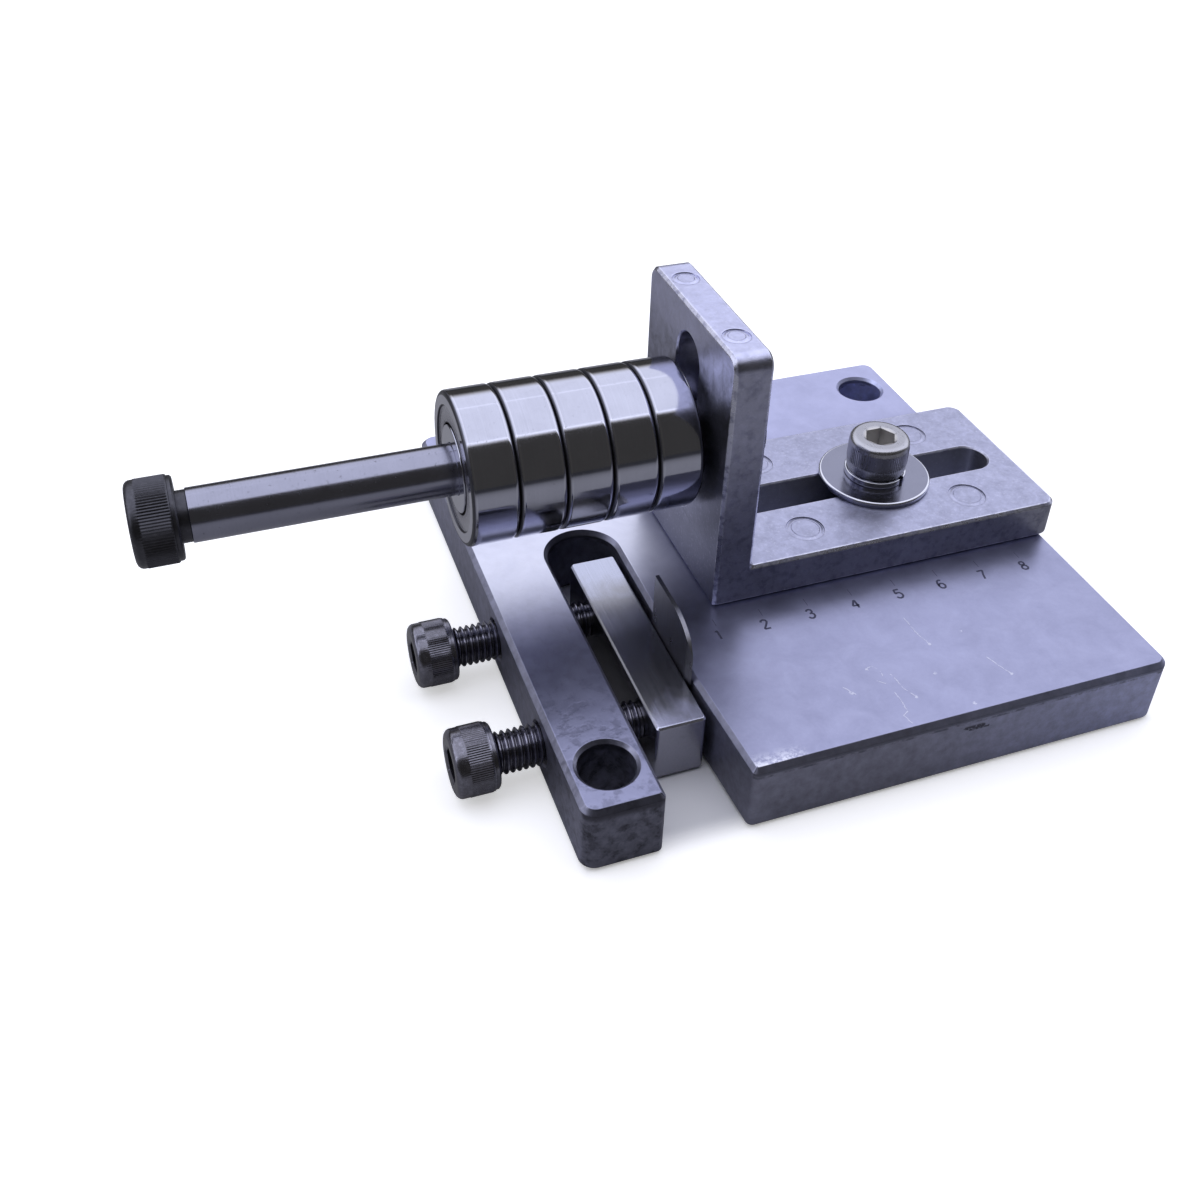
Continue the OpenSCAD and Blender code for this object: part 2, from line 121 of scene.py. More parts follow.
def soften(corners, radii, closed=True, steps=6, support=0.15):
    """Path through corner points with every corner rounded: from each corner the arc's centre lies
    on the bisector, and the arc runs between its two tangent points at equal angles. A support
    point lies a little beyond each tangent point where the straight is long enough for it."""
    points = np.asarray(corners, float)
    count = len(points)
    radius = np.broadcast_to(np.asarray(radii, float), (count,))
    back = np.roll(points, 1, 0) - points
    ahead = np.roll(points, -1, 0) - points
    back_len = np.linalg.norm(back, axis=1)
    ahead_len = np.linalg.norm(ahead, axis=1)
    back = back / back_len[:, None]
    ahead = ahead / ahead_len[:, None]
    opening = np.arccos(np.clip((back * ahead).sum(1), -1, 1))
    tangent = radius / np.tan(opening / 2)
    if not closed:
        tangent[[0, -1]] = 0
    bisector = back + ahead
    size = np.linalg.norm(bisector, axis=1)
    bisector = bisector / np.where(size < 1e-9, 1, size)[:, None]
    centre = points + bisector * (radius / np.maximum(np.sin(opening / 2), 1e-9))[:, None]
    spare_back = back_len - tangent - np.roll(tangent, 1)
    spare_ahead = ahead_len - tangent - np.roll(tangent, -1)
    share = np.linspace(0, 1, steps + 1)[:, None]
    path = []
    for i in range(count):
        if not closed and i in (0, count - 1):
            path.append(points[i:i + 1])
            continue
        start = points[i] + back[i] * tangent[i]
        end = points[i] + ahead[i] * tangent[i]
        if spare_back[i] > 3 * support:
            path.append((start + back[i] * support)[None])
        if radius[i] > 0:
            turn = math.pi - opening[i]
            path.append(centre[i] + (np.sin((1 - share) * turn) * (start - centre[i])
                                     + np.sin(share * turn) * (end - centre[i])) / math.sin(turn))
        else:
            path.append(points[i:i + 1])
        if spare_ahead[i] > 3 * support:
            path.append((end + ahead[i] * support)[None])
    return np.concatenate(path)


def loop_normals(loop):
    """Outward direction at each point of an anticlockwise loop: the sum of the two edge normals
    over one plus their product, so that moving along it moves both edges by the same distance."""
    ahead = np.roll(loop, -1, 0) - loop
    ahead = ahead / np.maximum(np.linalg.norm(ahead, axis=1), 1e-9)[:, None]
    after = np.stack([ahead[:, 1], -ahead[:, 0]], 1)
    before = np.roll(after, 1, 0)
    return (after + before) / (1 + (after * before).sum(1))[:, None]


def circle(centre, radius, count):
    """Anticlockwise circle: centre plus radius times (cos a, sin a), a in equal steps."""
    angle = np.arange(count) * TURN / count
    return np.stack([centre[0] + radius * np.cos(angle), centre[1] + radius * np.sin(angle)], 1)


def stadium(low, high, middle, radius, count=25):
    """Anticlockwise slot outline from low to high along its first axis: two half circles."""
    angle = np.linspace(-math.pi / 2, math.pi / 2, count)
    right = np.stack([high + radius * np.cos(angle), middle + radius * np.sin(angle)], 1)
    left = np.stack([low - radius * np.cos(angle), middle - radius * np.sin(angle)], 1)
    return np.concatenate([right, left])


def skin(rows, wrap=True, close=False, skip=None, rim=0.0):
    """Surface over a grid of points: each row is joined to the next. Wrap closes every row on
    itself, close joins the last row to the first, and skip leaves out marked cells. Rim has one
    value a row for the finish: above 0 on worn edges and painted highlights, below 0 in grooves
    with grime and painted shade."""
    rows = np.asarray(rows, float)
    n, m = rows.shape[:2]
    number = np.arange(n * m).reshape(n, m)
    if close:
        number = np.concatenate([number, number[:1]])
    if wrap:
        number = np.concatenate([number, number[:, :1]], 1)
    cells = np.stack([number[:-1, :-1], number[:-1, 1:], number[1:, 1:], number[1:, :-1]], -1)
    if skip is not None:
        cells = cells[~skip]
    edge = np.broadcast_to(np.asarray(rim, float).reshape(-1, 1), (n, m)).reshape(-1)
    return rows.reshape(-1, 3), cells.reshape(-1, 4), edge


def panel(*loops):
    """Flat panel inside the first loop and outside the others, cut into triangles."""
    points = np.concatenate(loops)
    faces = tessellate_polygon([[Vector(p) for p in loop] for loop in loops])
    return points, np.asarray(faces, int).reshape(-1, 3), np.zeros(len(points))


def turned(along, radius, segments, squeeze=None):
    """Turned surface about the local Z axis: point (r cos a, r sin a, s) for each s of along and
    each angle a. Squeeze, where given, changes the radius with the angle."""
    angle = np.arange(segments) * TURN / segments
    along = np.broadcast_to(np.asarray(along, float)[:, None], (len(along), segments))
    reach = np.broadcast_to(np.asarray(radius, float)[:, None], along.shape)
    if squeeze is not None:
        reach = squeeze(reach, angle[None])
    return np.stack([reach * np.cos(angle), reach * np.sin(angle), along], -1)


def set_down(points, origin, along):
    """Local points set in the object's frame: local Z runs along the given direction."""
    sides = {"+z": ((1, 0, 0), (0, 1, 0), (0, 0, 1)), "+x": ((0, 1, 0), (0, 0, 1), (1, 0, 0)),
             "-x": ((0, 1, 0), (0, 0, 1), (-1, 0, 0))}
    return np.asarray(points) @ np.asarray(sides[along], float) + np.asarray(origin, float)


def lathe(profile, segments, origin, along, **options):
    """Skin of a profile of (along, radius) points turned about an axis through the origin."""
    rows = turned(profile[:, 0], profile[:, 1], segments)
    return skin(set_down(rows, origin, along), **options)


def mirrored(half):
    """Values of half a section, and the same values back again."""
    return np.concatenate([half, half[::-1]])


def edge_levels(edge, wall, fillet, flat):
    """Half of an edge section as (inset, depth): a band of the flat face, the bevel, and the side
    wall down to the given depth, rounded where they meet."""
    return soften([(edge + flat, 0), (edge, 0), (0, edge), (0, wall)], fillet, closed=False,
                  steps=3, support=0.12)


def rim_values(levels, edge):
    """1 on the bevel, falling to 0 a short way along the flat face and the wall beside it."""
    past = np.maximum(levels - edge, 0).sum(1)
    return np.clip(1 - past / 0.3, 0, 1)


def make_piece(name, patches, finish, body, nodes=(), sharp=34.0):
    """One piece from its patches: their points are joined where they meet, the faces turned
    outward, and every edge sharper than the given angle is kept sharp."""
    start = np.cumsum([0] + [len(p[0]) for p in patches[:-1]])
    points = np.concatenate([p[0] for p in patches]) * MM
    faces = [row for p, s in zip(patches, start) for row in (p[1] + s).tolist()]
    mesh = bpy.data.meshes.new(name)
    mesh.from_pydata(points.tolist(), [], faces)
    rim = mesh.attributes.new("rim", "FLOAT", "POINT")
    rim.data.foreach_set("value", np.concatenate([p[2] for p in patches]).astype(np.float32))
    shell = bmesh.new()
    shell.from_mesh(mesh)
    bmesh.ops.remove_doubles(shell, verts=shell.verts, dist=2e-6)
    bmesh.ops.dissolve_degenerate(shell, edges=shell.edges, dist=1e-7)
    bmesh.ops.recalc_face_normals(shell, faces=shell.faces)
    shell.to_mesh(mesh)
    shell.free()
    mesh.shade_smooth()
    mesh.set_sharp_from_angle(angle=math.radians(sharp))
    mesh.materials.append(finish)
    piece = bpy.data.objects.new(name, mesh)
    bpy.context.scene.collection.objects.link(piece)
    if nodes:
        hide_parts(*nodes)
    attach(piece, body)


def stacked(loop, levels, height, into, weight=1.0):
    """Rows of a wall: the loop moved by each level's inset, at that level's height. Into is -1
    where the material lies inside the loop and 1 where it lies outside."""
    normal = loop_normals(loop) * np.reshape(weight, (-1, 1))
    flat = loop[None] + into * levels[:, 0, None, None] * normal[None]
    tall = np.broadcast_to(height[:, None, None], flat.shape[:2] + (1,))
    return np.concatenate([flat, tall], 2)


def bevelled(loop, levels, low, high, into, weight=1.0):
    """Rows of a wall from low to high, with the same edge section at both ends."""
    heights = np.concatenate([low + levels[:, 1], high - levels[::-1, 1]])
    return stacked(loop, mirrored(levels), heights, into, weight)


# Materials

class Sig:
    """A node's output that takes part in sums: each operator adds the Math node it stands for."""

    def __init__(self, desk, socket):
        self.desk, self.socket = desk, socket

    def __add__(self, other):
        return self.desk.maths("ADD", self, other)

    def __sub__(self, other):
        return self.desk.maths("SUBTRACT", self, other)

    def __mul__(self, other):
        return self.desk.maths("MULTIPLY", self, other)

    def __truediv__(self, other):
        return self.desk.maths("DIVIDE", self, other)

    def __rsub__(self, other):
        return self.desk.maths("SUBTRACT", other, self)

    def __rtruediv__(self, other):
        return self.desk.maths("DIVIDE", other, self)

    __radd__ = __add__
    __rmul__ = __mul__

    def swing(self, share):
        """A value from 0 to 1 as a swing of half the given share either way."""
        return (self - 0.5) * share


class Desk:
    """A node tree and the one way to add to it."""

    def __init__(self, tree):
        self.tree = tree
        tree.nodes.clear()

    def add(self, kind, settings=None, sockets=None, out=0):
        """A node of a kind: its settings first, then the values or links of its sockets."""
        node = self.tree.nodes.new(kind)
        for name, value in (settings or {}).items():
            setattr(node, name, value)
        for key, value in (sockets or {}).items():
            if isinstance(value, Sig):
                self.tree.links.new(value.socket, node.inputs[key])
            else:
                node.inputs[key].default_value = value
        if out is None:
            return [Sig(self, socket) for socket in node.outputs]
        return Sig(self, node.outputs[out])

    def maths(self, operation, *values):
        """A Math node on outputs or numbers."""
        return self.add("ShaderNodeMath", {"operation": operation}, dict(enumerate(values)))

    def most(self, one, other):
        """The larger of two values."""
        return self.maths("MAXIMUM", one, other)

    def distance(self, x, y):
        """Distance of the point (x, y) from (0, 0)."""
        return self.maths("SQRT", x * x + y * y)

    def clamped(self, value):
        """The value held between 0 and 1."""
        return self.add("ShaderNodeMath", {"operation": "ADD", "use_clamp": True},
                        {0: value, 1: 0.0})

    def ease(self, value, low, high):
        """0 below low, 1 above high and a smooth step between."""
        return self.add("ShaderNodeMapRange", {"interpolation_type": "SMOOTHSTEP"},
                        {"Value": value, "From Min": low, "From Max": high})

    def split(self, vector):
        """The three numbers of a vector."""
        return self.add("ShaderNodeSeparateXYZ", None, {0: vector}, out=None)

    def join(self, x, y, z):
        """A vector from three numbers."""
        return self.add("ShaderNodeCombineXYZ", None, {0: x, 1: y, 2: z})

    def blend(self, mask, first, second):
        """First colour where the mask is 0, second where it is 1."""
        return self.add("ShaderNodeMix", {"data_type": "RGBA"}, {0: mask, 6: first, 7: second},
                        out=2)

    def rays(self):
        """Two masks: rays from the camera, straight or through something, and glossy rays."""
        path = self.add("ShaderNodeLightPath", out=None)
        return self.clamped(path[0] + path[6]), path[3]

    def tint(self, strength, colour):
        """A colour times a value."""
        base = colour if isinstance(colour, Sig) else colour[:3]
        return self.add("ShaderNodeVectorMath", {"operation": "SCALE"},
                        {0: base, "Scale": strength})


class Finish(Desk):
    """A surface finish. Its place is in millimetres of the object's own frame."""

    def __init__(self, name):
        self.material = bpy.data.materials.new(name)
        self.material.use_nodes = True
        super().__init__(self.material.node_tree)
        source = self.add("ShaderNodeTexCoord", out=None)
        self.facing = source[1]
        self.place = self.add("ShaderNodeVectorMath", {"operation": "SCALE"},
                              {0: source[3], "Scale": 1000.0})
        self.rim = self.add("ShaderNodeAttribute", {"attribute_name": "rim"}, out=2)

    def stretched(self, sx, sy, sz):
        """The place with each axis scaled by itself, for noise drawn out along an axis."""
        return self.add("ShaderNodeVectorMath", {"operation": "MULTIPLY"},
                        {0: self.place, 1: (sx, sy, sz)})

    def clouds(self, scale, detail=3.0, rough=0.55, where=None, distortion=0.0):
        """Cloudy noise, 0 to 1, with scale in patches per millimetre."""
        return self.add("ShaderNodeTexNoise", None,
                        {"Vector": where or self.place, "Scale": scale, "Detail": detail,
                         "Roughness": rough, "Distortion": distortion})

    def stroke(self, across, along, start, end, width):
        """1 on the straight line from start to end, 0 beyond its half width."""
        dx, dy = end[0] - start[0], end[1] - start[1]
        length = dx * dx + dy * dy
        share = self.clamped(((across - start[0]) * dx + (along - start[1]) * dy) / length)
        off_x = across - start[0] - share * dx
        off_y = along - start[1] - share * dy
        return 1 - self.ease(self.distance(off_x, off_y), width * 0.25, width * 0.5)

    def trail(self, across, along, points, width):
        """1 on a broken line through the points, 0 beyond its half width."""
        line = self.stroke(across, along, points[0], points[1], width)
        for start, end in zip(points[1:-1], points[2:]):
            line = self.most(line, self.stroke(across, along, start, end, width))
        return line

    def between(self, value, low, high, soft):
        """1 from low to high, with a smooth step of the given width at both ends."""
        return self.ease(value, low, low + soft) * (1 - self.ease(value, high - soft, high))

    def relief(self, height, distance, strength):
        """Bump of the given depth in millimetres."""
        return self.add("ShaderNodeBump", None, {"Height": height, "Distance": distance * MM,
                                                 "Strength": strength})

    def metal(self, colour, rough, normal, metallic=1.0):
        """Finishes the material as metal and gives it back."""
        shader = self.add("ShaderNodeBsdfPrincipled", None,
                          {"Base Color": colour, "Metallic": metallic, "Roughness": rough,
                           "Normal": normal})
        self.add("ShaderNodeOutputMaterial", None, {"Surface": shader}, out=None)
        return self.material


# Metal worn bare, and the colour of painted highlights and painted sheen
WORN_AND_HIGHLIGHT_BRIGHT = (0.92, 0.93, 1.0, 1)

# Worn lines on the base plate's top, and pits with their width as third value
SCRATCHES = (((2.1, -43.2), (3.5, -42.6), (4.6, -44.0), (4.4, -45.7)),
             ((2.7, -46.6), (3.9, -47.7)),
             ((6.0, -45.8), (6.5, -49.9), (7.6, -52.7)),
             ((4.2, -50.2), (4.3, -53.5), (4.2, -55.2)),
             ((4.0, -55.2), (2.9, -56.1), (3.3, -58.2)),
             ((-4.2, -46.1), (-2.9, -48.5)),
             ((16.6, -32.4), (16.8, -37.1), (17.5, -40.9)),
             ((26.1, -47.3), (27.0, -49.9), (28.2, -53.1)))
SCRATCH_WIDTH = 0.24
PITS = ((25.4, -39.4, 0.8), (-3.6, -47.9, 0.9), (14.2, -48.2, 0.8), (17.0, -57.4, 0.8),
        (28.1, -52.9, 0.7), (7.5, -52.6, 0.8), (17.4, -40.7, 0.7), (2.3, -43.3, 0.7))


def satin_plate():
    """Cast and milled plate: satin top with soft blotches and a few scratches, mottled sides that
    lighten to the right with painted light, painted shade on the front top edge and at the foot of
    the sides, a dark broken line and a gouge along the front, and a dented arm. The arm's front
    face is darker with painted shade, and the top lighter to the back with painted light. The part
    under the foot's slot is a little lighter with painted light, and a band by the slot has a
    painted sheen."""
    f = Finish("satin_plate")
    x, y, z = f.split(f.place)
    facing = f.split(f.facing)
    top = f.ease(facing[2], 0.75, 0.95)
    side = 1 - top
    front = 1 - f.ease(facing[1], -0.6, -0.25)
    blotch = f.clouds(0.045, 4.0, 0.6)
    patch = f.clouds(0.16, 5.0, 0.62, distortion=0.4)
    mottle = f.clouds(0.45, 5.0, 0.68)
    grain = f.clouds(1.9, 2.0, 0.6)
    arm = 1 - f.ease(x, -46.5, -44.5)
    worn = f.clouds(0.42, 4.0, 0.6)
    dents = f.ease(worn, 0.46, 0.64) * arm * (1 - f.ease(y, -48.0, -22.0) * 0.7)
    mouth = (1 - f.ease(y, -60.0, -55.5)) * f.between(x, -31.5, -17.0, 4.0) * top
    mouth = mouth * f.ease(f.clouds(0.9, 4.0, 0.7), 0.40, 0.60)
    # A band of the top by the slot's back end is brightened towards bare metal: painted sheen.
    painted_sheen = f.ease(y + blotch.swing(14.0), -24.0, 8.0) * (1 - f.ease(y, 24.0, 38.0)) * top
    painted_sheen = painted_sheen * (1 - f.ease(x, -24.0, -15.0)) * (0.65 + patch * 0.5)
    shaken = f.clouds(0.9, 3.0, 0.6) - 0.5
    across, along = x + shaken * 0.9, y - shaken * 0.7
    scratch = f.trail(across, along, SCRATCHES[0], SCRATCH_WIDTH)
    for points in SCRATCHES[1:]:
        scratch = f.most(scratch, f.trail(across, along, points, SCRATCH_WIDTH))
    for pit_x, pit_y, wide in PITS:
        pit = f.stroke(across, along, (pit_x, pit_y), (pit_x + 0.1, pit_y + 0.1), wide)
        scratch = f.most(scratch, pit)
    scratch = scratch * top * f.ease(f.clouds(1.1, 3.0, 0.6), 0.36, 0.50)
    dirt = f.ease(f.clouds(0.30, 4.0, 0.65), 0.42, 0.62)
    # The lip is painted shade: the front top edge is darkened, and on the arm so is the front strip
    # of the top.
    lip = front * f.ease(z, 13.5 - arm * 1.0 - mottle * 0.6, 14.0 - mottle * 0.6)
    lip = f.most(lip, top * arm * (1 - f.ease(y + worn * 2.2, -58.4, -57.6)))
    # A dark broken line along the front face, just below the top edge.
    dark_front_line = front * f.between(z, 12.7, 13.5, 0.25) * dirt * (1 - arm)
    gouge = front * f.between(x + (z - 11.5) * 1.6, 13.6, 19.4, 0.8)
    gouge = gouge * f.between(z, 10.6, 12.4, 0.5) * f.ease(f.clouds(1.2, 3.0, 0.6), 0.38, 0.5)
    # The lowest millimetre of the sides is darkened: painted contact shadow.
    foot = side * (1 - f.ease(z, 0.5, 1.5))
    dark = f.clamped(lip * (0.62 + arm * 0.2) + dark_front_line * 0.6 + gouge * 0.85 + foot * 0.7)
    tone = 0.90 + blotch.swing(0.34) + patch.swing(0.24) + grain.swing(0.08)
    tone = tone - dents * 0.26 + f.rim * top * 0.06 + side * mottle.swing(0.9)
    # The top is lighter towards the back with painted light, and the arm's front face darker with
    # painted shade.
    tone = tone + top * f.ease(y, 10.0, 50.0) * 0.30 - front * arm * 0.35
    colour = f.blend(f.clamped(patch * 1.5 - 0.35), (0.335, 0.345, 0.50, 1), (0.39, 0.40, 0.56, 1))
    # The side colour lightens towards the right: painted light.
    wall = f.blend(f.ease(x, -5.0, 58.0), (0.38, 0.385, 0.50, 1), (0.60, 0.63, 0.90, 1))
    colour = f.tint(tone, f.blend(side, colour, wall))
    colour = f.blend(dark, colour, (0.07, 0.07, 0.09, 1))
    colour = f.blend(f.clamped(scratch * 0.42 + mouth * 0.8 + painted_sheen * 0.62), colour, WORN_AND_HIGHLIGHT_BRIGHT)
    # The plate top under the foot's slot is lightened and made rougher: painted light against the
    # slot's shade.
    under = f.between(y, ROW_Y - 5.0, ROW_Y + 5.0, 1.0) * f.between(x, -10.0, 57.0, 2.0) * top
    colour = f.tint(1 + under * 0.35, colour)
    rough = 0.36 + blotch.swing(0.16) + patch.swing(0.10) + side * 0.10 + scratch * 0.15
    rough = rough + under * 0.2
    height = patch * 0.20 + grain * 0.10 + mottle * side * 0.3 - scratch * 0.5 - dents * 0.5
    return f.metal(colour, rough, f.relief(height - gouge * 1.5, 0.06, 0.6))


def satin_bracket():
    """Cast bracket: satin and finely mottled, with worn bright edges, painted shade on the sides
    and on the lower roller side and front, painted light on the top, and a greyer slot in the foot
    lifted by painted light."""
    f = Finish("satin_bracket")
    x, y, z = f.split(f.place)
    facing = f.split(f.facing)
    top = f.ease(facing[2], 0.75, 0.95)
    roller_side = 1 - f.ease(facing[0], -0.9, -0.6)
    blotch = f.clouds(0.07, 4.0, 0.6)
    patch = f.clouds(0.30, 5.0, 0.65, distortion=0.5)
    cast = f.clouds(0.95, 4.0, 0.72)
    speck = f.ease(f.clouds(1.5, 3.0, 0.7), 0.56, 0.68)
    wear = f.rim * f.ease(f.clouds(0.6, 4.0, 0.6), 0.30, 0.55)
    # The roller side is darkened below its top: painted shade.
    grime_and_shade = roller_side * (1 - f.ease(z + patch.swing(24.0) + y * 0.35, 50.0, 68.0))
    tone = 0.92 + blotch.swing(0.30) + patch.swing(0.40) + cast.swing(0.5)
    colour = f.blend(f.clamped(patch * 1.5 - 0.35), (0.37, 0.38, 0.51, 1), (0.45, 0.46, 0.61, 1))
    # Every face but the top is darkened: painted shade.
    colour = f.blend((1 - top) * 0.35, colour, (0.30, 0.30, 0.40, 1))
    # The crown is painted light on the upright's top, and the roller side's upper part is lightened
    # with painted light too.
    crown = top * f.ease(z, 60.0, 66.0)
    front = 1 - f.ease(facing[1], -0.9, -0.6)
    # The inside of the foot's slot is lightened and made rougher: painted light against its shade.
    past_wall = FOOT_SLOT[2] + 0.12
    in_slot = f.between(y, ROW_Y - past_wall, ROW_Y + past_wall, 0.1)
    in_slot = in_slot * (1 - f.ease(z, 22.9, 23.3)) * f.between(x, -8.0, 58.0, 1.0)
    colour = f.tint(tone + crown * 0.45 + roller_side * f.ease(z, 58.0, 68.0) * 0.5, colour)
    colour = f.blend(in_slot * 0.75, colour, (0.52, 0.53, 0.57, 1))
    # The front is darkened lower down: painted shade.
    low_front = 1 - f.ease(z + patch.swing(14.0) - x * 0.12, 24.0, 60.0)
    grime_and_shade = f.most(grime_and_shade, front * low_front * 0.52)
    colour = f.blend(grime_and_shade * 0.85, colour, (0.09, 0.09, 0.11, 1))
    colour = f.blend(f.clamped(wear * 0.5 + speck * (0.09 + top * 0.08)), colour,
                     (0.86, 0.87, 0.98, 1))
    rough = 0.36 + blotch.swing(0.16) + cast.swing(0.14) - wear * 0.08 + in_slot * 0.3
    height = patch * 0.22 + cast * 0.55
    return f.metal(colour, rough, f.relief(height, 0.07, 0.7))


def ground_block():
    """Ground steel: painted reflections make the rear and front ends bright and the middle dark
    with cloudy edges; fine lines run along its length.
    """
    f = Finish("ground_block")
    y = f.split(f.place)[1]
    smoke = f.clouds(0.11, 4.0, 0.6, distortion=0.6)
    lines = f.clouds(1.0, 3.0, 0.6, where=f.stretched(3.2, 0.05, 3.2))
    # painted_reflection_y: the length, swung by cloudy noise, along which the painted reflections
    # change.
    painted_reflection_y = y + smoke.swing(22.0)
    colour = f.blend(f.ease(painted_reflection_y, -11.0, 1.0), (0.35, 0.35, 0.38, 1), (0.50, 0.52, 0.63, 1))
    colour = f.blend(1 - f.ease(painted_reflection_y, -42.0, -35.0), colour, (0.68, 0.69, 0.84, 1))
    colour = f.tint(0.92 + lines.swing(0.3), colour)
    rough = 0.18 + smoke * 0.10 + lines.swing(0.10)
    return f.metal(colour, rough, f.relief(lines, 0.02, 0.4))


def blade_steel():
    """Hardened blade steel, dark with a fine grind across it."""
    f = Finish("blade_steel")
    lines = f.clouds(1.0, 3.0, 0.6, where=f.stretched(1.0, 4.5, 0.12))
    smoke = f.clouds(0.2, 3.0, 0.6)
    colour = f.tint(0.8 + lines.swing(0.5) + smoke.swing(0.3), (0.30, 0.30, 0.34, 1))
    return f.metal(colour, 0.22 + smoke * 0.14, f.relief(lines, 0.015, 0.4))


def dark_screw(name, base, glint, rough, spotted=0.25):
    """Dark plated screw: spots of the glint colour, and more of it on worn crests and edges."""
    f = Finish(name)
    spots = f.ease(f.clouds(1.1, 4.0, 0.65), 0.46, 0.66)
    smoke = f.clouds(0.25, 3.0, 0.6)
    colour = f.blend(f.clamped(spots * spotted + smoke.swing(0.4)), base, glint)
    colour = f.blend(f.clamped(f.rim * (0.35 + spots * 0.5)), colour, glint)
    return f.metal(colour, rough + smoke.swing(0.16),
                   f.relief(f.clouds(2.5, 3.0, 0.6), 0.015, 0.4))


def polished_steel(name, base, rough, worn=0.3, edge=0.35, dusty=0.0):
    """Polished steel with faint marks across the axle, dark specks by worn, bright edges by edge,
    worn and painted highlights, and grime with painted shade where the rim value is below 0. Dusty
    lightens the socket of the lock screw."""
    f = Finish(name)
    x, y, z = f.split(f.place)
    turning = f.clouds(3.0, 3.0, 0.6, where=f.join(x, 0.0, 0.0))
    smoke = f.clouds(0.16, 4.0, 0.6, distortion=0.5)
    specks = f.ease(f.clouds(1.4, 3.0, 0.7), 0.62, 0.72)
    tone = 0.94 + smoke.swing(0.2) + turning.swing(0.14) - specks * worn
    colour = f.tint(tone, base)
    colour = f.blend(f.clamped(f.rim * edge), colour, WORN_AND_HIGHLIGHT_BRIGHT)
    # Where the rim value is below 0 the colour is darkened: grime with painted shade in grooves and
    # between parts.
    grime_and_shade = f.clamped(0 - f.rim)
    colour = f.blend(grime_and_shade * 0.85, colour, (0.03, 0.03, 0.035, 1))
    gloss = rough + (smoke - 0.4) * rough * 0.7 + turning.swing(0.05)
    gloss = gloss + specks * 0.10 + grime_and_shade * 0.3
    if dusty:
        inside = 1 - f.ease(f.distance(x - LOCK_X, y - ROW_Y), 3.1, 3.8)
        dust = inside * f.ease(z, 28.5, 29.5) * dusty
        colour = f.blend(dust, colour, (0.74, 0.72, 0.68, 1))
        gloss = gloss + dust * 0.4
    return f.metal(colour, gloss, f.relief(turning * 0.5 + smoke * 0.5, 0.012, 0.5))


def brass_cage():
    """Pressed brass with a soft tarnish."""
    f = Finish("brass_cage")
    tarnish = f.clouds(0.8, 4.0, 0.6)
    colour = f.blend(tarnish, (0.62, 0.42, 0.16, 1), (0.36, 0.24, 0.11, 1))
    return f.metal(colour, 0.28 + tarnish * 0.2, f.relief(tarnish, 0.02, 0.5))


def engraving():
    """Dark dusty engraving, fainter where the rim value is above 0."""
    f = Finish("engraving")
    dust = f.clouds(1.6, 3.0, 0.6)
    colour = f.blend(dust, (0.030, 0.030, 0.055, 1), (0.10, 0.10, 0.17, 1))
    colour = f.blend(f.rim * 0.55, colour, (0.36, 0.37, 0.52, 1))
    return f.metal(colour, 0.55 + dust * 0.2, f.relief(dust, 0.03, 0.5), metallic=0.4)


# Camera, light and floor

def aim_camera():
    """Camera at the photograph's viewing angle: the forward direction from yaw and pitch, and the
    two directions across it turned by the roll."""
    yaw, pitch, roll = (math.radians(a) for a in (CAMERA_YAW, CAMERA_PITCH, CAMERA_ROLL))
    forward = Vector((math.sin(yaw) * math.cos(pitch), math.cos(yaw) * math.cos(pitch),
                      math.sin(pitch)))
    level = Vector((math.cos(yaw), -math.sin(yaw), 0))
    upright = level.cross(forward)
    right = math.cos(roll) * level + math.sin(roll) * upright
    up = math.cos(roll) * upright - math.sin(roll) * level
    lens = bpy.data.cameras.new("studio_camera")
    lens.sensor_width = 36.0
    lens.lens = CAMERA_LENS
    lens.shift_x, lens.shift_y = CAMERA_SHIFT
    lens.clip_start = 0.005
    camera = bpy.data.objects.new("studio_camera", lens)
    bpy.context.scene.collection.objects.link(camera)
    turn = Matrix((right, up, -forward)).transposed().to_4x4()
    camera.matrix_world = Matrix.Translation(CAMERA_PLACE) @ turn
    bpy.context.scene.camera = camera


def light_studio():
    """One wide softbox overhead, with two brighter tubes, in a dim room. What the camera sees
    directly or through something is white, and glossy rays get a little of that white too."""
    world = bpy.data.worlds.new("studio")
    world.use_nodes = True
    bpy.context.scene.world = world
    desk = Desk(world.node_tree)
    direction = desk.split(desk.add("ShaderNodeTexCoord", out="Generated"))
    tilt = desk.maths("ARCTAN2", direction[1], direction[2])
    front, back, front_edge, back_edge = (math.radians(a) for a in (
        SOFTBOX_FRONT, SOFTBOX_BACK, SOFTBOX_FRONT_EDGE, SOFTBOX_BACK_EDGE))
    lit = (desk.ease(tilt, front - front_edge, front + front_edge)
           * (1 - desk.ease(tilt, back - back_edge, back + back_edge)))
    studio = ROOM_LEVEL + lit * (SOFTBOX_LEVEL - ROOM_LEVEL)
    for middle, width, extra in STREAKS:
        away = desk.maths("ABSOLUTE", tilt - math.radians(middle))
        studio = studio + (1 - desk.ease(away, 0.0, math.radians(width))) * extra
    direct, glossy = desk.rays()
    level = studio * (1 - direct) + direct + glossy * (BACKDROP_IN_GLOSS * (1 - direct))
    tint = desk.blend(direct, desk.blend(lit, ROOM_TINT, SOFTBOX_TINT), WHITE)
    glow = desk.add("ShaderNodeBackground", None, {"Color": tint, "Strength": level})
    desk.add("ShaderNodeOutputWorld", None, {"Surface": glow}, out=None)


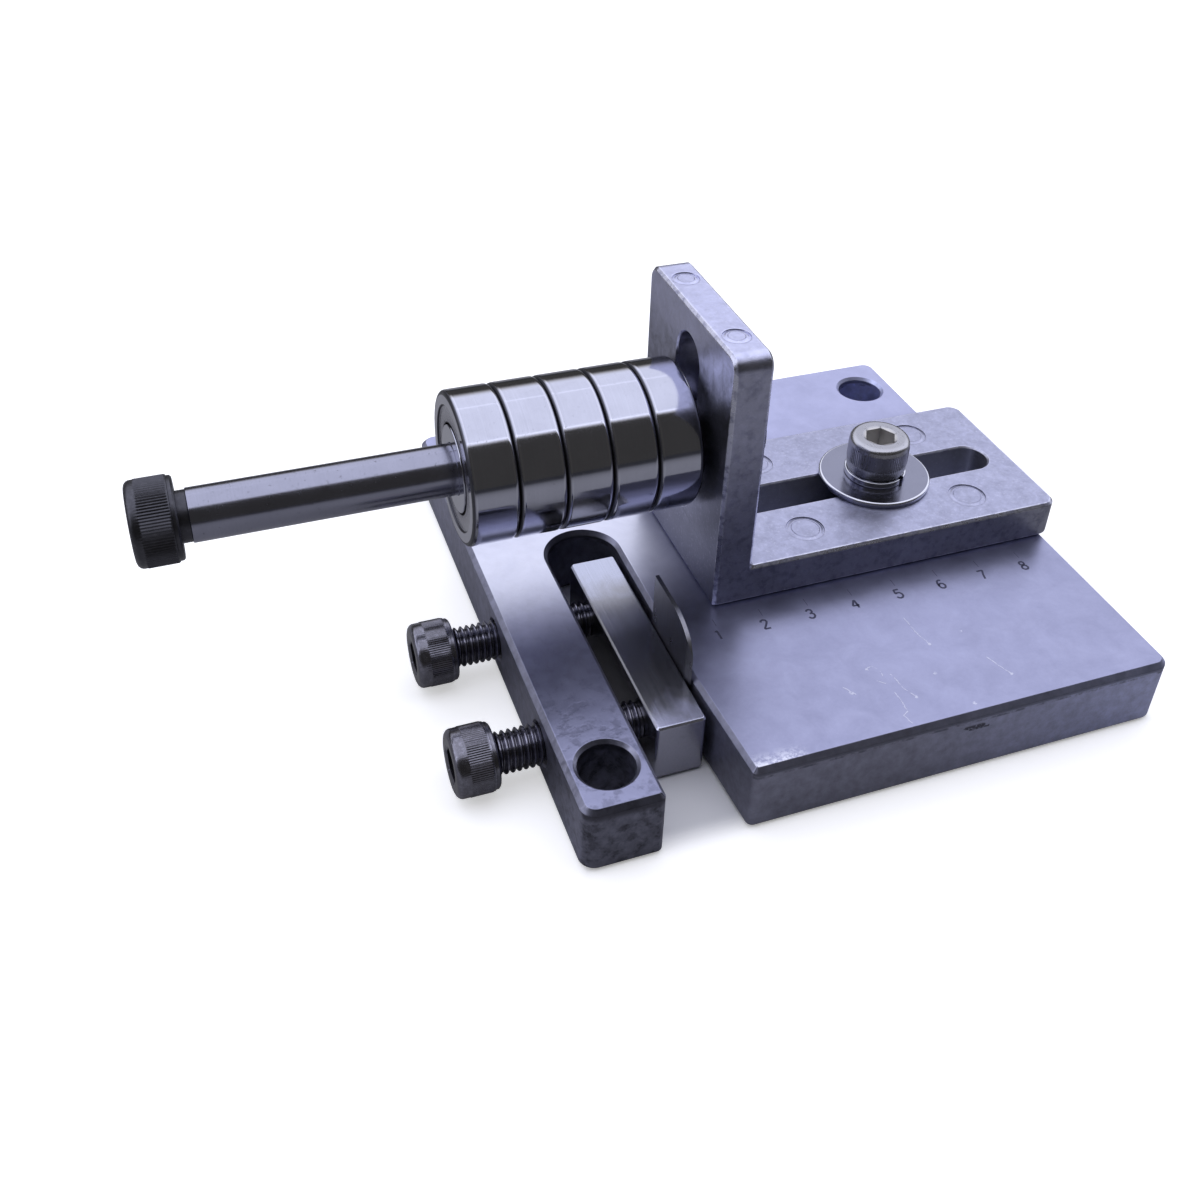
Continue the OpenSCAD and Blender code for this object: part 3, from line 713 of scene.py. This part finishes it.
def lay_floor():
    """Pale floor that keeps the object's shadow, darker to the metal, and lifted for the camera
    outside the plate's footprint."""
    f = Finish("pale_floor")
    direct = f.rays()[0]
    x, y = f.split(f.place)[:2]
    beside = f.most(f.ease(f.maths("ABSOLUTE", x), 55.0, 61.0),
                    f.ease(f.maths("ABSOLUTE", y), 55.0, 62.0))
    reflected = f.blend(f.ease(f.distance(x, y), *FLOOR_FADE), FLOOR_NEAR, FLOOR_FAR)
    matt = f.add("ShaderNodeBsdfDiffuse", None,
                 {"Color": f.blend(direct, reflected, FLOOR_SEEN)})
    lift = f.add("ShaderNodeEmission", None,
                 {"Color": WHITE, "Strength": direct * beside * FLOOR_LIFT})
    both = f.add("ShaderNodeAddShader", None, {0: matt, 1: lift})
    f.add("ShaderNodeOutputMaterial", None, {"Surface": both}, out=None)
    mesh = bpy.data.meshes.new("floor")
    mesh.from_pydata([(FLOOR_HALF * u, FLOOR_HALF * v, 0)
                      for u, v in ((-1, -1), (1, -1), (1, 1), (-1, 1))], [], [(0, 1, 2, 3)])
    mesh.materials.append(f.material)
    floor = bpy.data.objects.new("floor", mesh)
    bpy.context.scene.collection.objects.link(floor)


# Pieces

def plate_body(finish):
    """Base plate: the outline with its open slot is carried up through the edge section, and the
    faces are flat panels with the holes left out."""
    half_w, half_d = PLATE_W / 2, PLATE_D / 2
    corners = [(-half_w, -half_d), (SLOT_LEFT, -half_d), (SLOT_LEFT, SLOT_END),
               (SLOT_RIGHT, SLOT_END), (SLOT_RIGHT, -half_d + MOUTH_RUN),
               (SLOT_RIGHT + MOUTH_RELIEF, -half_d), (half_w, -half_d), (half_w, half_d),
               (-half_w, half_d)]
    slot_r = (SLOT_RIGHT - SLOT_LEFT) / 2
    radii = [PLATE_CORNER, MOUTH_ROUND, slot_r, slot_r, MOUTH_BEND, MOUTH_ROUND, PLATE_CORNER,
             PLATE_CORNER, PLATE_CORNER]
    outline = soften(corners, radii, steps=14)
    in_slot = ((outline[:, 0] > SLOT_LEFT - 0.6) & (outline[:, 0] < SLOT_RIGHT + 2.6)
               & (outline[:, 1] > -half_d + 0.6) & (outline[:, 1] < SLOT_END + 1))
    weight = np.where(in_slot, SLOT_EDGE_SHARE, 1.0)
    levels = edge_levels(PLATE_EDGE, PLATE_EDGE + 0.45, 0.22, 0.2)
    rows = bevelled(outline, levels, 0.0, PLATE_H, -1, weight)
    middle = len(levels) - 1
    # The two faces that the clamp screws cross are panels of their own.
    after = np.roll(outline, -1, 0)
    run = np.abs(after[:, 1] - outline[:, 1]) > 20
    faces = [(run & (np.abs(outline[:, 0] - x) < 0.01) & (np.abs(after[:, 0] - x) < 0.01), x, into)
             for x, into in ((-half_w, 1), (SLOT_LEFT, -1))]
    skip = np.zeros((len(rows) - 1, len(outline)), bool)
    skip[middle] = faces[0][0] | faces[1][0]
    patches = [skin(rows, skip=skip, rim=mirrored(rim_values(levels, PLATE_EDGE)))]
    mouth = edge_levels(0.5, 0.7, 0.1, 0.3)
    rings = [circle((y, MID_Z), THREAD_HOLE_R, 48) for y in CLAMP_Y]
    for cell, x, into in faces:
        i = int(np.flatnonzero(cell)[0])
        j = (i + 1) % len(outline)
        border = np.stack([rows[middle, i], rows[middle, j], rows[middle + 1, j],
                           rows[middle + 1, i]])
        holes = []
        for ring in rings:
            wall = stacked(ring, mouth, x + into * mouth[:, 1], 1)[:, :, [2, 0, 1]]
            holes.append(wall[0])
            patches.append(skin(wall, rim=rim_values(mouth, 0.5)))
        patches.append(panel(border, *holes))
    for ring in rings:
        ends = [np.insert(ring, 0, x, 1)
                for x in (-half_w + mouth[-1, 1], SLOT_LEFT - mouth[-1, 1])]
        patches.append(skin(ends))
    bottoms, tops = [rows[0]], [rows[-1]]
    for centre, radius, edge in ([(c, BENCH_HOLE_R, 0.7) for c in BENCH_HOLES]
                                 + [((LOCK_X, ROW_Y), THREAD_HOLE_R, 0.3)]):
        section = edge_levels(edge, edge + 0.4, edge * 0.25, 0.15)
        wall = bevelled(circle(centre, radius, 72), section, 0.0, PLATE_H, 1)
        patches.append(skin(wall, rim=mirrored(rim_values(section, edge)) * 0.5))
        bottoms.append(wall[0])
        tops.append(wall[-1])
    patches += [panel(*bottoms), panel(*tops)]
    make_piece("plate_body", patches, finish, "base", ["base_plate"])


def bracket_rows(section):
    """Closed rows of the bracket's rim. The flat outline of foot and upright is bent at the
    corner: a point of the foot keeps its x, a point of the upright its z, and the few points
    between them run round the bend's arc."""
    inner_r, outer_r = 0.8, 0.7
    x_bend, z_bend = UPRIGHT_X + inner_r, FOOT_TOP + inner_r
    foot = soften([(x_bend, FENCE_FRONT), (FOOT_END_X, FENCE_FRONT), (FOOT_END_X, FENCE_BACK),
                   (x_bend, FENCE_BACK)], FENCE_CORNER, closed=False, steps=10)
    tall = soften([(FENCE_BACK, z_bend), (FENCE_BACK, UPRIGHT_TOP), (FENCE_FRONT, UPRIGHT_TOP),
                   (FENCE_FRONT, z_bend)], FENCE_CORNER, closed=False, steps=10)
    bends = 6
    share = np.linspace(0, 1, bends)
    flat_foot = foot - [x_bend, 0]
    flat_tall = np.stack([z_bend - tall[:, 1] - 1, tall[:, 0]], 1)
    back_bend = np.stack([-0.05 - 0.9 * share, np.full(bends, FENCE_BACK)], 1)
    front_bend = np.stack([-0.95 + 0.9 * share, np.full(bends, FENCE_FRONT)], 1)
    flat = np.concatenate([flat_foot, back_bend, flat_tall, front_bend])
    normal = loop_normals(flat)
    nf, nt = len(foot), len(tall)
    part = {"foot": slice(0, nf), "back": slice(nf, nf + bends),
            "tall": slice(nf + bends, nf + bends + nt), "front": slice(nf + bends + nt, None)}

    def ring(inset, x_up, z_foot, radius):
        points = np.zeros((len(flat), 3))
        n = normal[part["foot"]]
        points[part["foot"]] = np.stack([foot[:, 0] - inset * n[:, 0], foot[:, 1] - inset * n[:, 1],
                                         np.full(nf, z_foot)], 1)
        n = normal[part["tall"]]
        points[part["tall"]] = np.stack([np.full(nt, x_up), tall[:, 0] - inset * n[:, 1],
                                         tall[:, 1] + inset * n[:, 0]], 1)
        angle = -math.pi / 2 * (1 + share)
        for name, turn, y in (("back", angle, FENCE_BACK - inset),
                              ("front", angle[::-1], FENCE_FRONT + inset)):
            points[part[name]] = np.stack([x_up + radius + radius * np.cos(turn),
                                           np.full(bends, y),
                                           z_foot + radius + radius * np.sin(turn)], 1)
        return points

    outer = [ring(i, FENCE_X + d, PLATE_H + d, outer_r) for i, d in section]
    inner = [ring(i, UPRIGHT_X - d, FOOT_TOP - d, inner_r) for i, d in section[::-1]]
    return np.stack(outer + inner), part


def bracket_body(finish):
    """Fence bracket: its rim rows, the two faces of foot and upright, both slots and the round
    ejector marks."""
    section = edge_levels(FENCE_EDGE, FENCE_EDGE + 0.21, 0.18, 0.35)
    rows, part = bracket_rows(section)
    middle = len(section) - 1
    points = rows[middle]
    after = np.roll(points, -1, 0)
    top_cell = ((np.abs(points[:, 2] - UPRIGHT_TOP) < 0.01)
                & (np.abs(after[:, 2] - UPRIGHT_TOP) < 0.01)
                & (np.abs(after[:, 1] - points[:, 1]) > 20))
    skip = np.zeros((len(rows) - 1, rows.shape[1]), bool)
    skip[middle] = top_cell
    patches = [skin(rows, skip=skip, rim=mirrored(rim_values(section, FENCE_EDGE)))]
    i = int(np.flatnonzero(top_cell)[0])
    top_border = np.stack([rows[middle, i], rows[middle, i + 1], rows[middle + 1, i + 1],
                           rows[middle + 1, i]])

    def mark(centre, radius, z):
        """Round ejector mark: a narrow groove, a second faint one inside it and a flat middle."""
        inset = np.array([-0.30, -0.12, -0.02, 0.06, 0.30, 0.62, 0.72, 1.00, 1.08, 1.16, radius])
        drop = np.array([0.0, 0.0, 0.04, 0.24, 0.24, 0.06, 0.03, 0.03, 0.09, 0.03, 0.03])
        wall = set_down(turned(-drop, radius - inset, 48), (*centre, z), "+z")
        patches.append(skin(wall, rim=[0, 0, 0.5, 0, 0, 0.3, 0, 0, 0, 0, 0]))
        return wall[0]

    upright_mid = (FENCE_X + UPRIGHT_X) / 2
    marks = [mark((upright_mid, ROW_Y + side * TOP_MARK_Y), TOP_MARK_R, UPRIGHT_TOP)
             for side in (-1, 1)]
    patches.append(panel(top_border, *marks))

    hole = edge_levels(SLOT_BEVEL, 0.6, 0.08, 0.25)
    hole_rim = mirrored(rim_values(hole, SLOT_BEVEL)) * 0.6
    low, high, radius = FOOT_SLOT
    foot_hole = bevelled(stadium(low, high, ROW_Y, radius), hole, PLATE_H, FOOT_TOP, 1)
    low, high, radius = UPRIGHT_SLOT
    upright_hole = bevelled(stadium(low, high, ROW_Y, radius), hole, FENCE_X, UPRIGHT_X, 1)
    upright_hole = upright_hole[:, :, [2, 1, 0]]
    patches += [skin(foot_hole, rim=hole_rim), skin(upright_hole, rim=hole_rim)]

    for at in (0, -1):
        row = rows[at]
        back, front = row[part["back"]], row[part["front"]]
        foot_loop, tall_loop, foot_marks = row[part["foot"]], row[part["tall"]], []
        if at == 0:
            foot_loop = np.concatenate([front[-1:], foot_loop, back[:1]])
            tall_loop = np.concatenate([back[-1:], tall_loop, front[:1]])
        else:
            foot_marks = [mark((x, ROW_Y + side * FOOT_MARK_Y), FOOT_MARK_R, FOOT_TOP)
                          for x in FOOT_MARK_X for side in (-1, 1)]
        patches += [panel(foot_loop, foot_hole[at], *foot_marks),
                    panel(tall_loop, upright_hole[at]),
                    skin(np.stack([back, front[::-1]]), wrap=False)]
    make_piece("bracket_body", patches, finish, "fence", ["fence_bracket"])


def block_body(finish):
    """Clamp block: a rounded rectangle carried up through its edge section."""
    left, right, front, back, foot, top = BLOCK
    outline = soften([(left, front), (right, front), (right, back), (left, back)], BLOCK_CORNER)
    levels = edge_levels(BLOCK_EDGE, 0.7, 0.12, 0.3)
    rows = bevelled(outline, levels, foot, top, -1)
    patches = [skin(rows, rim=mirrored(rim_values(levels, BLOCK_EDGE))), panel(rows[0]),
               panel(rows[-1])]
    make_piece("block_body", patches, finish, "block", ["clamp_block"])


def blade_strip(finish):
    """Blade: half thickness grows with the distance from the front edge up to the full half, and
    the top follows the nose circle and then runs level."""
    front, back, foot, top = -35.2, -16.4, 0.6, 25.3
    x_mid, half, grind, nose, reach = -30.43, 0.4, 2.4, 12.0, 9.85
    y = np.concatenate([front + grind * np.linspace(0, 1, 9)[:-1],
                        np.linspace(front + grind, front + reach, 24)[:-1],
                        np.linspace(front + reach, back, 6)])
    thick = half * np.minimum((y - front) / grind, 1)
    ahead = np.maximum(front + reach - y, 0)
    crown = top - nose + np.sqrt(nose ** 2 - ahead ** 2)
    share = np.array([0, 0.02, 0.5, 0.98, 1.0])[:, None]
    height = foot + (crown - foot)[None] * share
    wide = np.broadcast_to(y, height.shape)
    side = [np.stack([np.broadcast_to(x_mid + s * thick, height.shape), wide, height], -1)
            for s in (-1, 1)]
    rows = np.concatenate([side[0], side[1][:, ::-1]], 1)
    patches = [skin(rows), skin(np.stack([side[0][0], side[1][0]]), wrap=False),
               skin(np.stack([side[0][-1], side[1][-1]]), wrap=False)]
    make_piece("blade_strip", patches, finish, "blade", ["blade"], sharp=12)


def screw_head(radius, height, flats, depth, ridges, ridge_depth, seat_r, knurl):
    """Knurled socket head along local Z from its seat at 0: the profile is carried round the axis,
    the ridges take a small depth off the radius as a triangle wave of the angle, and in the
    socket the radius follows a hexagon, flats over twice the cosine of the angle from a flat."""
    half = flats / 2
    low, high = knurl
    rows = np.array([
        # along, radius, ridged, six-sided, rim
        (0, 0, 0, 0, 0), (0, seat_r, 0, 0, 0), (0, radius - 1.1, 0, 0, 0),
        (0.05, radius - 0.62, 0, 0, 0.5), (0.35, radius - 0.32, 0, 0, 0.3),
        (0.9, radius - 0.30, 0, 0, 0), (1.0, radius - 0.12, 0, 0, 0.8),
        (low, radius - 0.10, 0, 0, 0.3), (low + 0.12, radius, 1, 0, 0),
        (low + 0.3, radius, 1, 0, 0), ((low + high) / 2, radius, 1, 0, 0),
        (high - 0.3, radius, 1, 0, 0), (high - 0.12, radius, 1, 0, 0),
        (high, radius - 0.08, 0, 0, 0.3), (height - 0.95, radius - 0.10, 0, 0, 0.2),
        (height - 0.55, radius - 0.28, 0, 0, 0.7), (height - 0.18, radius - 0.66, 0, 0, 0.7),
        (height, radius - 1.15, 0, 0, 0.3), (height, radius - 1.4, 0, 0, 0),
        (height, half * 1.155 + 0.42, 0, 0, 0), (height, half * 1.155 + 0.30, 0, 0, 0.2),
        (height - 0.30, half, 0, 1, 0.4), (height - 0.5, half, 0, 1, 0),
        (height - depth + 0.1, half, 0, 1, 0), (height - depth, half, 0, 1, 0),
        (height - depth, half * 0.86, 0, 0, 0), (height - depth - 0.8, 0, 0, 0, 0)])

    def squeeze(reach, angle):
        ridged = np.abs((angle * ridges / TURN) % 1 * 2 - 1)
        six = 1 / np.cos((angle % (TURN / 6)) - TURN / 12)
        return reach * (1 + rows[:, 3:4] * (six - 1)) - rows[:, 2:3] * ridge_depth * ridged

    return turned(rows[:, 0], rows[:, 1], ridges * 4, squeeze), rows[:, 4]


def thread(low, high, sizes, origin, along, end_fade=0.7):
    """Screw thread along local Z, with its two closed ends: a point at turn v and angle u lies at
    (v + u) pitches along, so the grid follows the helix. The radius runs from root to crest over
    each turn, and fades to the root at both ends, where the height is held at the end."""
    crest, root, pitch = sizes
    start_fade, segments = 0.7, 48
    first, last = math.floor(low / pitch) - 2, math.ceil(high / pitch) + 2
    knots = np.array([0.0, 0.10, 0.45, 0.55, 0.90])
    turn = (np.arange(first, last)[:, None] + knots[None]).reshape(-1)
    tooth = np.tile([1.0, 1.0, 0.0, 0.0, 0.93], last - first)
    share = np.linspace(0, 1, segments + 1)
    height = np.clip((turn[:, None] + share[None]) * pitch, low, high)
    fade = (np.clip((height - low) / (start_fade * pitch), 0, 1)
            * np.clip((high - height) / (end_fade * pitch), 0, 1))
    reach = root + (crest - root) * tooth[:, None] * fade
    angle = share[None] * TURN
    rows = np.stack([reach * np.cos(angle), reach * np.sin(angle), height], -1)
    ends = [lathe(np.array([(at, root), (at, 0.0)]), segments, origin, along)
            for at in (low, high)]
    return [skin(set_down(rows, origin, along), wrap=False, rim=tooth * 0.8)] + ends


def clamp_screws(finish):
    """Two clamp screws, heads to the left: a knurled head and an M8 thread."""
    head, shade = screw_head(*M8_HEAD, 96, 0.06, 4.0, (1.3, 5.6))
    for name, y in (("front", CLAMP_Y[0]), ("rear", CLAMP_Y[1])):
        seat = (CLAMP_SEAT_X, y, MID_Z)
        patches = [skin(set_down(head, seat, "-x"), rim=shade)]
        patches += thread(-CLAMP_REACH, -THREAD_START, M8_THREAD, seat, "-x", end_fade=0.5)
        make_piece(f"clamp_screw_body_{name}", patches, finish, f"clamp_{name}",
                   [f"clamp_screw_{name}"], sharp=28)


def lock_pieces(screw_finish, washer_finish):
    """Lock screw, its split spring washer and its flat washer. The spring washer's section is
    carried round most of a turn and sinks a little on the way."""
    seat = (LOCK_X, ROW_Y, LOCK_SEAT_Z)
    head, shade = screw_head(*M8_HEAD, 78, 0.07, 4.0, (2.3, 6.4))
    patches = [skin(set_down(head, seat, "+z"), rim=shade)]
    patches += thread(-LOCK_REACH, -THREAD_START, M8_THREAD, seat, "+z")
    make_piece("lock_screw_body", patches, screw_finish, "lock", ["lock_screw"],
               sharp=28)

    bore, spring_r, spring_h, flat_r, flat_h = 4.2, 6.6, 1.4, 12.0, 1.2
    section = soften([(bore, 0), (spring_r, 0), (spring_r, spring_h), (bore, spring_h)], 0.22,
                     steps=4, support=0.05)
    middle, cuts = (bore + spring_r) / 2, 97
    split, half_gap = -math.pi / 3, 0.6 / middle
    angle = np.linspace(split + half_gap, split + TURN - half_gap, cuts)[:, None]
    sink, pressed, lift = np.linspace(0.025, -0.025, cuts)[:, None], 0.96, 0.03
    ring = np.stack([section[None, :, 0] * np.cos(angle) + LOCK_X,
                     section[None, :, 0] * np.sin(angle) + ROW_Y,
                     FOOT_TOP + flat_h + section[None, :, 1] * pressed + lift + sink], -1)
    # The outer edge carries painted highlight lines.
    lines = np.zeros(ring.shape[:2]) + (section[:, 0] > spring_r - 0.28) * 0.9
    points, cells = skin(ring)[:2]
    make_piece("spring_washer_body",
               [(points, cells, lines.reshape(-1)), panel(ring[0]), panel(ring[-1])],
               washer_finish, "lock", ["lock_spring_washer"])

    section = soften([(0, bore), (0, flat_r), (flat_h, flat_r), (flat_h, bore)],
                     [0.1, 0.25, 0.42, 0.2], steps=5, support=0.08)
    lit_edge = (section[:, 1] > 11.55) * (section[:, 0] > 0.6) * 0.9
    disc = lathe(section, 128, (LOCK_X, ROW_Y, FOOT_TOP), "+z", close=True, rim=lit_edge)
    make_piece("flat_washer_body", [disc], washer_finish, "base",
               ["lock_flat_washer"])


def axle_pieces(head_finish, shank_finish, nut_finish, ring_finish):
    """Axle screw with its thin nut, washer and spacer ring. The washer and the spacer stand a hair
    clear of the upright, so that they can slide on it."""
    seat = (AXLE_SEAT_X, ROW_Y, AXLE_Z)
    neck_l, neck_r, shank_l, thread_from, shank_r = 1.9, 4.75, 102.1, 101.6, M10_THREAD[0]
    head, shade = screw_head(*M10_HEAD, 90, 0.13, 5.0, (1.1, 6.5))
    neck = soften([(-neck_l, 0), (-neck_l, neck_r), (0.2, neck_r), (0.2, 0)], [0, 0.15, 0, 0],
                  closed=False, support=0.05)
    patches = [skin(set_down(head, seat, "-x"), rim=shade), lathe(neck, 90, seat, "-x")]
    make_piece("axle_head", patches, head_finish, "axle", ["axle_screw"], sharp=28)

    shank = soften([(-1.7, 0), (-1.7, shank_r), (-shank_l, shank_r), (-shank_l, 0)],
                   [0, 0.25, 0, 0], closed=False, support=0.1)
    patches = [lathe(shank, 96, seat, "-x")]
    patches += thread(-AXLE_REACH, -thread_from, M10_THREAD, seat, "-x")
    make_piece("axle_shank", patches, shank_finish, "axle", ["axle_screw"], sharp=28)

    thick, half_flats, bore, corner = 5.0, 8.5, 5.05, 8.35
    face = np.array([0.0, 0.05, 0.25, 0.5, 0.8, 1.2, 2.5, 3.8, 4.2, 4.5, 4.75, 4.95, thick])
    chamfer = np.minimum(face, thick - face) * math.sqrt(3) + corner

    def six_sided(reach, angle):
        return np.minimum(half_flats / np.cos((angle % (TURN / 6)) - TURN / 12), reach)

    outside = turned(face, chamfer, 144, six_sided)
    hole = soften([(0, 7.9), (0, bore), (thick, bore), (thick, 7.9)], [0, 0.5, 0.5, 0],
                  closed=False, support=0.08)
    inside = turned(hole[::-1, 0], hole[::-1, 1], 144)
    nut = set_down(np.concatenate([outside, inside]), (NUT_X, ROW_Y, AXLE_Z), "+x")
    make_piece("axle_nut_body", [skin(nut, close=True)], nut_finish, "carriage",
               ["axle_nut"], sharp=28)
    bore, reach = 5.2, 8.8
    for name, x, low, high in (("washer", WASHER_X, 0.02, 1.6), ("spacer", SPACER_X, 0, 1.58)):
        section = soften([(low, bore), (low, reach), (high, reach), (high, bore)],
                         [0.15, 0.3, 0.3, 0.15], steps=4, support=0.08)
        disc = lathe(section, 120, (x, ROW_Y, AXLE_Z), "+x", close=True)
        make_piece(f"axle_{name}_body", [disc], ring_finish, "carriage",
                   [f"axle_{name}"])


def bearing_pieces(ring_finish, shield_finish):
    """Five shielded ball bearings: each ring and shield is a closed section of (along, radius)
    points turned about the axle. The outer rings and the shields have a light line near an edge
    and grime with painted shade in their grooves."""
    side, reach, bore, land = 4.5, 15.0, 5.03, 8.5
    lip, seat, lip_x, seat_x = 12.2, 12.75, 4.2, 3.75
    outer = soften([(-side, lip), (-side, reach), (side, reach), (side, lip), (lip_x, lip),
                    (lip_x, seat), (seat_x, seat), (seat_x, lip), (-seat_x, lip),
                    (-seat_x, seat), (-lip_x, seat), (-lip_x, lip)],
                   [0.22, 0.85, 0.85, 0.22] + [0] * 8, steps=5, support=0.1)
    inner = soften([(-side, bore), (-side, land), (side, land), (side, bore)],
                   [0.4, 0.22, 0.22, 0.4], steps=4, support=0.1)
    shield = soften([(4.2, 12.7), (4.2, 12.2), (4.08, 11.9), (4.08, 9.5), (4.18, 9.2),
                     (4.2, 8.85), (4.0, 8.8), (3.85, 8.95), (3.84, 9.3), (3.76, 9.6),
                     (3.76, 11.8), (3.84, 12.15), (3.84, 12.7)], 0.03, steps=2, support=0.05)
    end, radius = np.abs(outer[:, 0]), outer[:, 1]
    ring_lines = ((np.abs(end - 3.75) < 0.12) & (radius > 14.5)) * 0.6
    ring_lines = ring_lines - ((end > 3.95) & (radius > 14.1)) - (radius < 12.3) * 1.0
    radius = shield[:, 1]
    shield_lines = (np.abs(radius - 11.7) < 0.25) * 0.8 - (radius > 12.05) - (radius < 9.0)
    for k in range(1, 6):
        middle = (BEARING_X - BEARING_STEP * (5 - k), ROW_Y, AXLE_Z)
        ring = lathe(outer, 144, middle, "+x", close=True, rim=ring_lines)
        make_piece(f"outer_ring_body_{k}", [ring], ring_finish, f"roller_{k}",
                   [f"bearing_{k}_outer_ring"])
        ring = lathe(inner, 96, middle, "+x", close=True)
        make_piece(f"inner_ring_body_{k}", [ring], ring_finish, "roller_stack",
                   [f"bearing_{k}_inner_ring"])
        discs = [lathe(shield * [way, 1], 96, middle, "+x", close=True, rim=shield_lines)
                 for way in (-1, 1)]
        make_piece(f"shields_body_{k}", discs, shield_finish, f"roller_{k}",
                   [f"bearing_{k}_shields"])


# Strokes of the engraved numbers, each from -1 to 1 over its height
DIGITS = {
    1: [[(-0.25, 0.62), (0.1, 1.0), (0.1, -1.0)]],
    2: [[(-0.52, 0.55), (-0.40, 0.86), (0.0, 1.0), (0.42, 0.84), (0.5, 0.45), (0.25, 0.02),
         (-0.55, -1.0), (0.58, -1.0)]],
    3: [[(-0.5, 0.66), (-0.28, 0.94), (0.08, 1.0), (0.42, 0.82), (0.46, 0.42), (0.2, 0.12),
         (-0.12, 0.06)], [(0.2, 0.12), (0.52, -0.14), (0.55, -0.55), (0.3, -0.9), (-0.06, -1.0),
                          (-0.4, -0.9), (-0.58, -0.58)]],
    4: [[(0.25, -1.0), (0.25, 1.0), (-0.62, -0.4), (0.6, -0.4)]],
    5: [[(0.48, 1.0), (-0.38, 1.0), (-0.5, 0.1), (-0.1, 0.3), (0.3, 0.22), (0.56, -0.1),
         (0.56, -0.55), (0.3, -0.9), (-0.1, -1.0), (-0.45, -0.84), (-0.58, -0.55)]],
    6: [[(0.42, 0.82), (0.1, 1.0), (-0.3, 0.8), (-0.52, 0.3), (-0.55, -0.4), (-0.38, -0.84),
         (0.0, -1.0), (0.4, -0.84), (0.56, -0.4), (0.4, 0.04), (0.02, 0.2), (-0.36, 0.06),
         (-0.54, -0.3)]],
    7: [[(-0.56, 1.0), (0.56, 1.0), (0.1, 0.0), (-0.16, -1.0)]],
    8: [[(0.0, 0.1), (-0.38, 0.3), (-0.44, 0.68), (-0.2, 0.95), (0.2, 0.95), (0.44, 0.68),
         (0.38, 0.3), (0.0, 0.1), (-0.46, -0.16), (-0.56, -0.6), (-0.28, -0.95), (0.28, -0.95),
         (0.56, -0.6), (0.46, -0.16), (0.0, 0.1)]],
}


def ribbon(path, width, low, high, rim=0.0):
    """Thin bar along a path: the two sides lie half a width to each side of it, by the mean
    direction of the path there."""
    path = np.asarray(path, float)
    step = np.gradient(path, axis=0)
    step = step / np.maximum(np.linalg.norm(step, axis=1), 1e-9)[:, None]
    across = np.stack([-step[:, 1], step[:, 0]], 1) * width / 2
    left, right = path + across, path - across
    rows = np.stack([np.stack([side[:, 0], side[:, 1], np.full(len(path), z)], 1)
                     for side, z in ((left, low), (left, high), (right, high), (right, low))], 1)
    edge = np.full(4, rim)
    return [skin(rows, rim=rim), (rows[0], np.array([[0, 1, 2, 3]]), edge),
            (rows[-1], np.array([[3, 2, 1, 0]]), edge)]


def scale_marks(finish):
    """Centimetre lines and their numbers, counted from the slot wall that the blade rests on."""
    patches = []
    low, high = PLATE_H - 0.05, PLATE_H + 0.012
    line_y, line_w, faint = (-23.0, -22.0, -21.0), 0.15, 0.6
    number_y, number_left, number_size, stroke_w = -25.5, 0.6, (1.2, 1.3), 0.44
    for n, paths in DIGITS.items():
        x = SLOT_RIGHT + 10 * n
        patches += ribbon([(x, y) for y in line_y], line_w, low, high, rim=faint)
        for path in paths:
            placed = np.array(path) * number_size + [x - number_left, number_y]
            fine = soften(placed, 0.12, closed=False, steps=3, support=0.3)
            patches += ribbon(fine, stroke_w, low, high)
    make_piece("scale_marks", patches, finish, "base")


# Assembly

aim_camera()
light_studio()
lay_floor()

plate_finish = satin_plate()
bracket_finish = satin_bracket()
bearing_finish = polished_steel("bearing_steel", (0.52, 0.53, 0.62, 1), 0.09, 0.10)
shield_finish = polished_steel("shield_steel", (0.36, 0.36, 0.42, 1), 0.24)
ball_finish = polished_steel("ball_steel", (0.70, 0.71, 0.80, 1), 0.05, 0.05)
lock_finish = polished_steel("lock_steel", (0.38, 0.38, 0.41, 1), 0.25, 0.5, 0.3, dusty=0.6)
washer_finish = polished_steel("washer_steel", (0.24, 0.245, 0.31, 1), 0.18, 0.15, 0.7)
shank_finish = polished_steel("shank_steel", (0.34, 0.345, 0.43, 1), 0.18, 0.45)
clamp_finish = dark_screw("clamp_steel", (0.165, 0.162, 0.19, 1), (0.42, 0.42, 0.51, 1), 0.24,
                          0.18)
head_finish = dark_screw("axle_head_steel", (0.075, 0.075, 0.087, 1), (0.14, 0.14, 0.16, 1),
                         0.38)
nut_finish = dark_screw("nut_steel", (0.09, 0.09, 0.11, 1), (0.34, 0.34, 0.40, 1), 0.30)
cage_finish = brass_cage()

plate_body(plate_finish)
bracket_body(bracket_finish)
block_body(ground_block())
blade_strip(blade_steel())
clamp_screws(clamp_finish)
lock_pieces(lock_finish, washer_finish)
axle_pieces(head_finish, shank_finish, nut_finish, shank_finish)
bearing_pieces(bearing_finish, shield_finish)
scale_marks(engraving())

# Balls and cages keep their own meshes and only get a finish.
for name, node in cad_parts.items():
    for ending, finish in (("_balls", ball_finish), ("_cage", cage_finish)):
        if name.endswith(ending):
            node.data.materials.clear()
            node.data.materials.append(finish)

bpy.context.scene.view_settings.view_transform = "Standard"
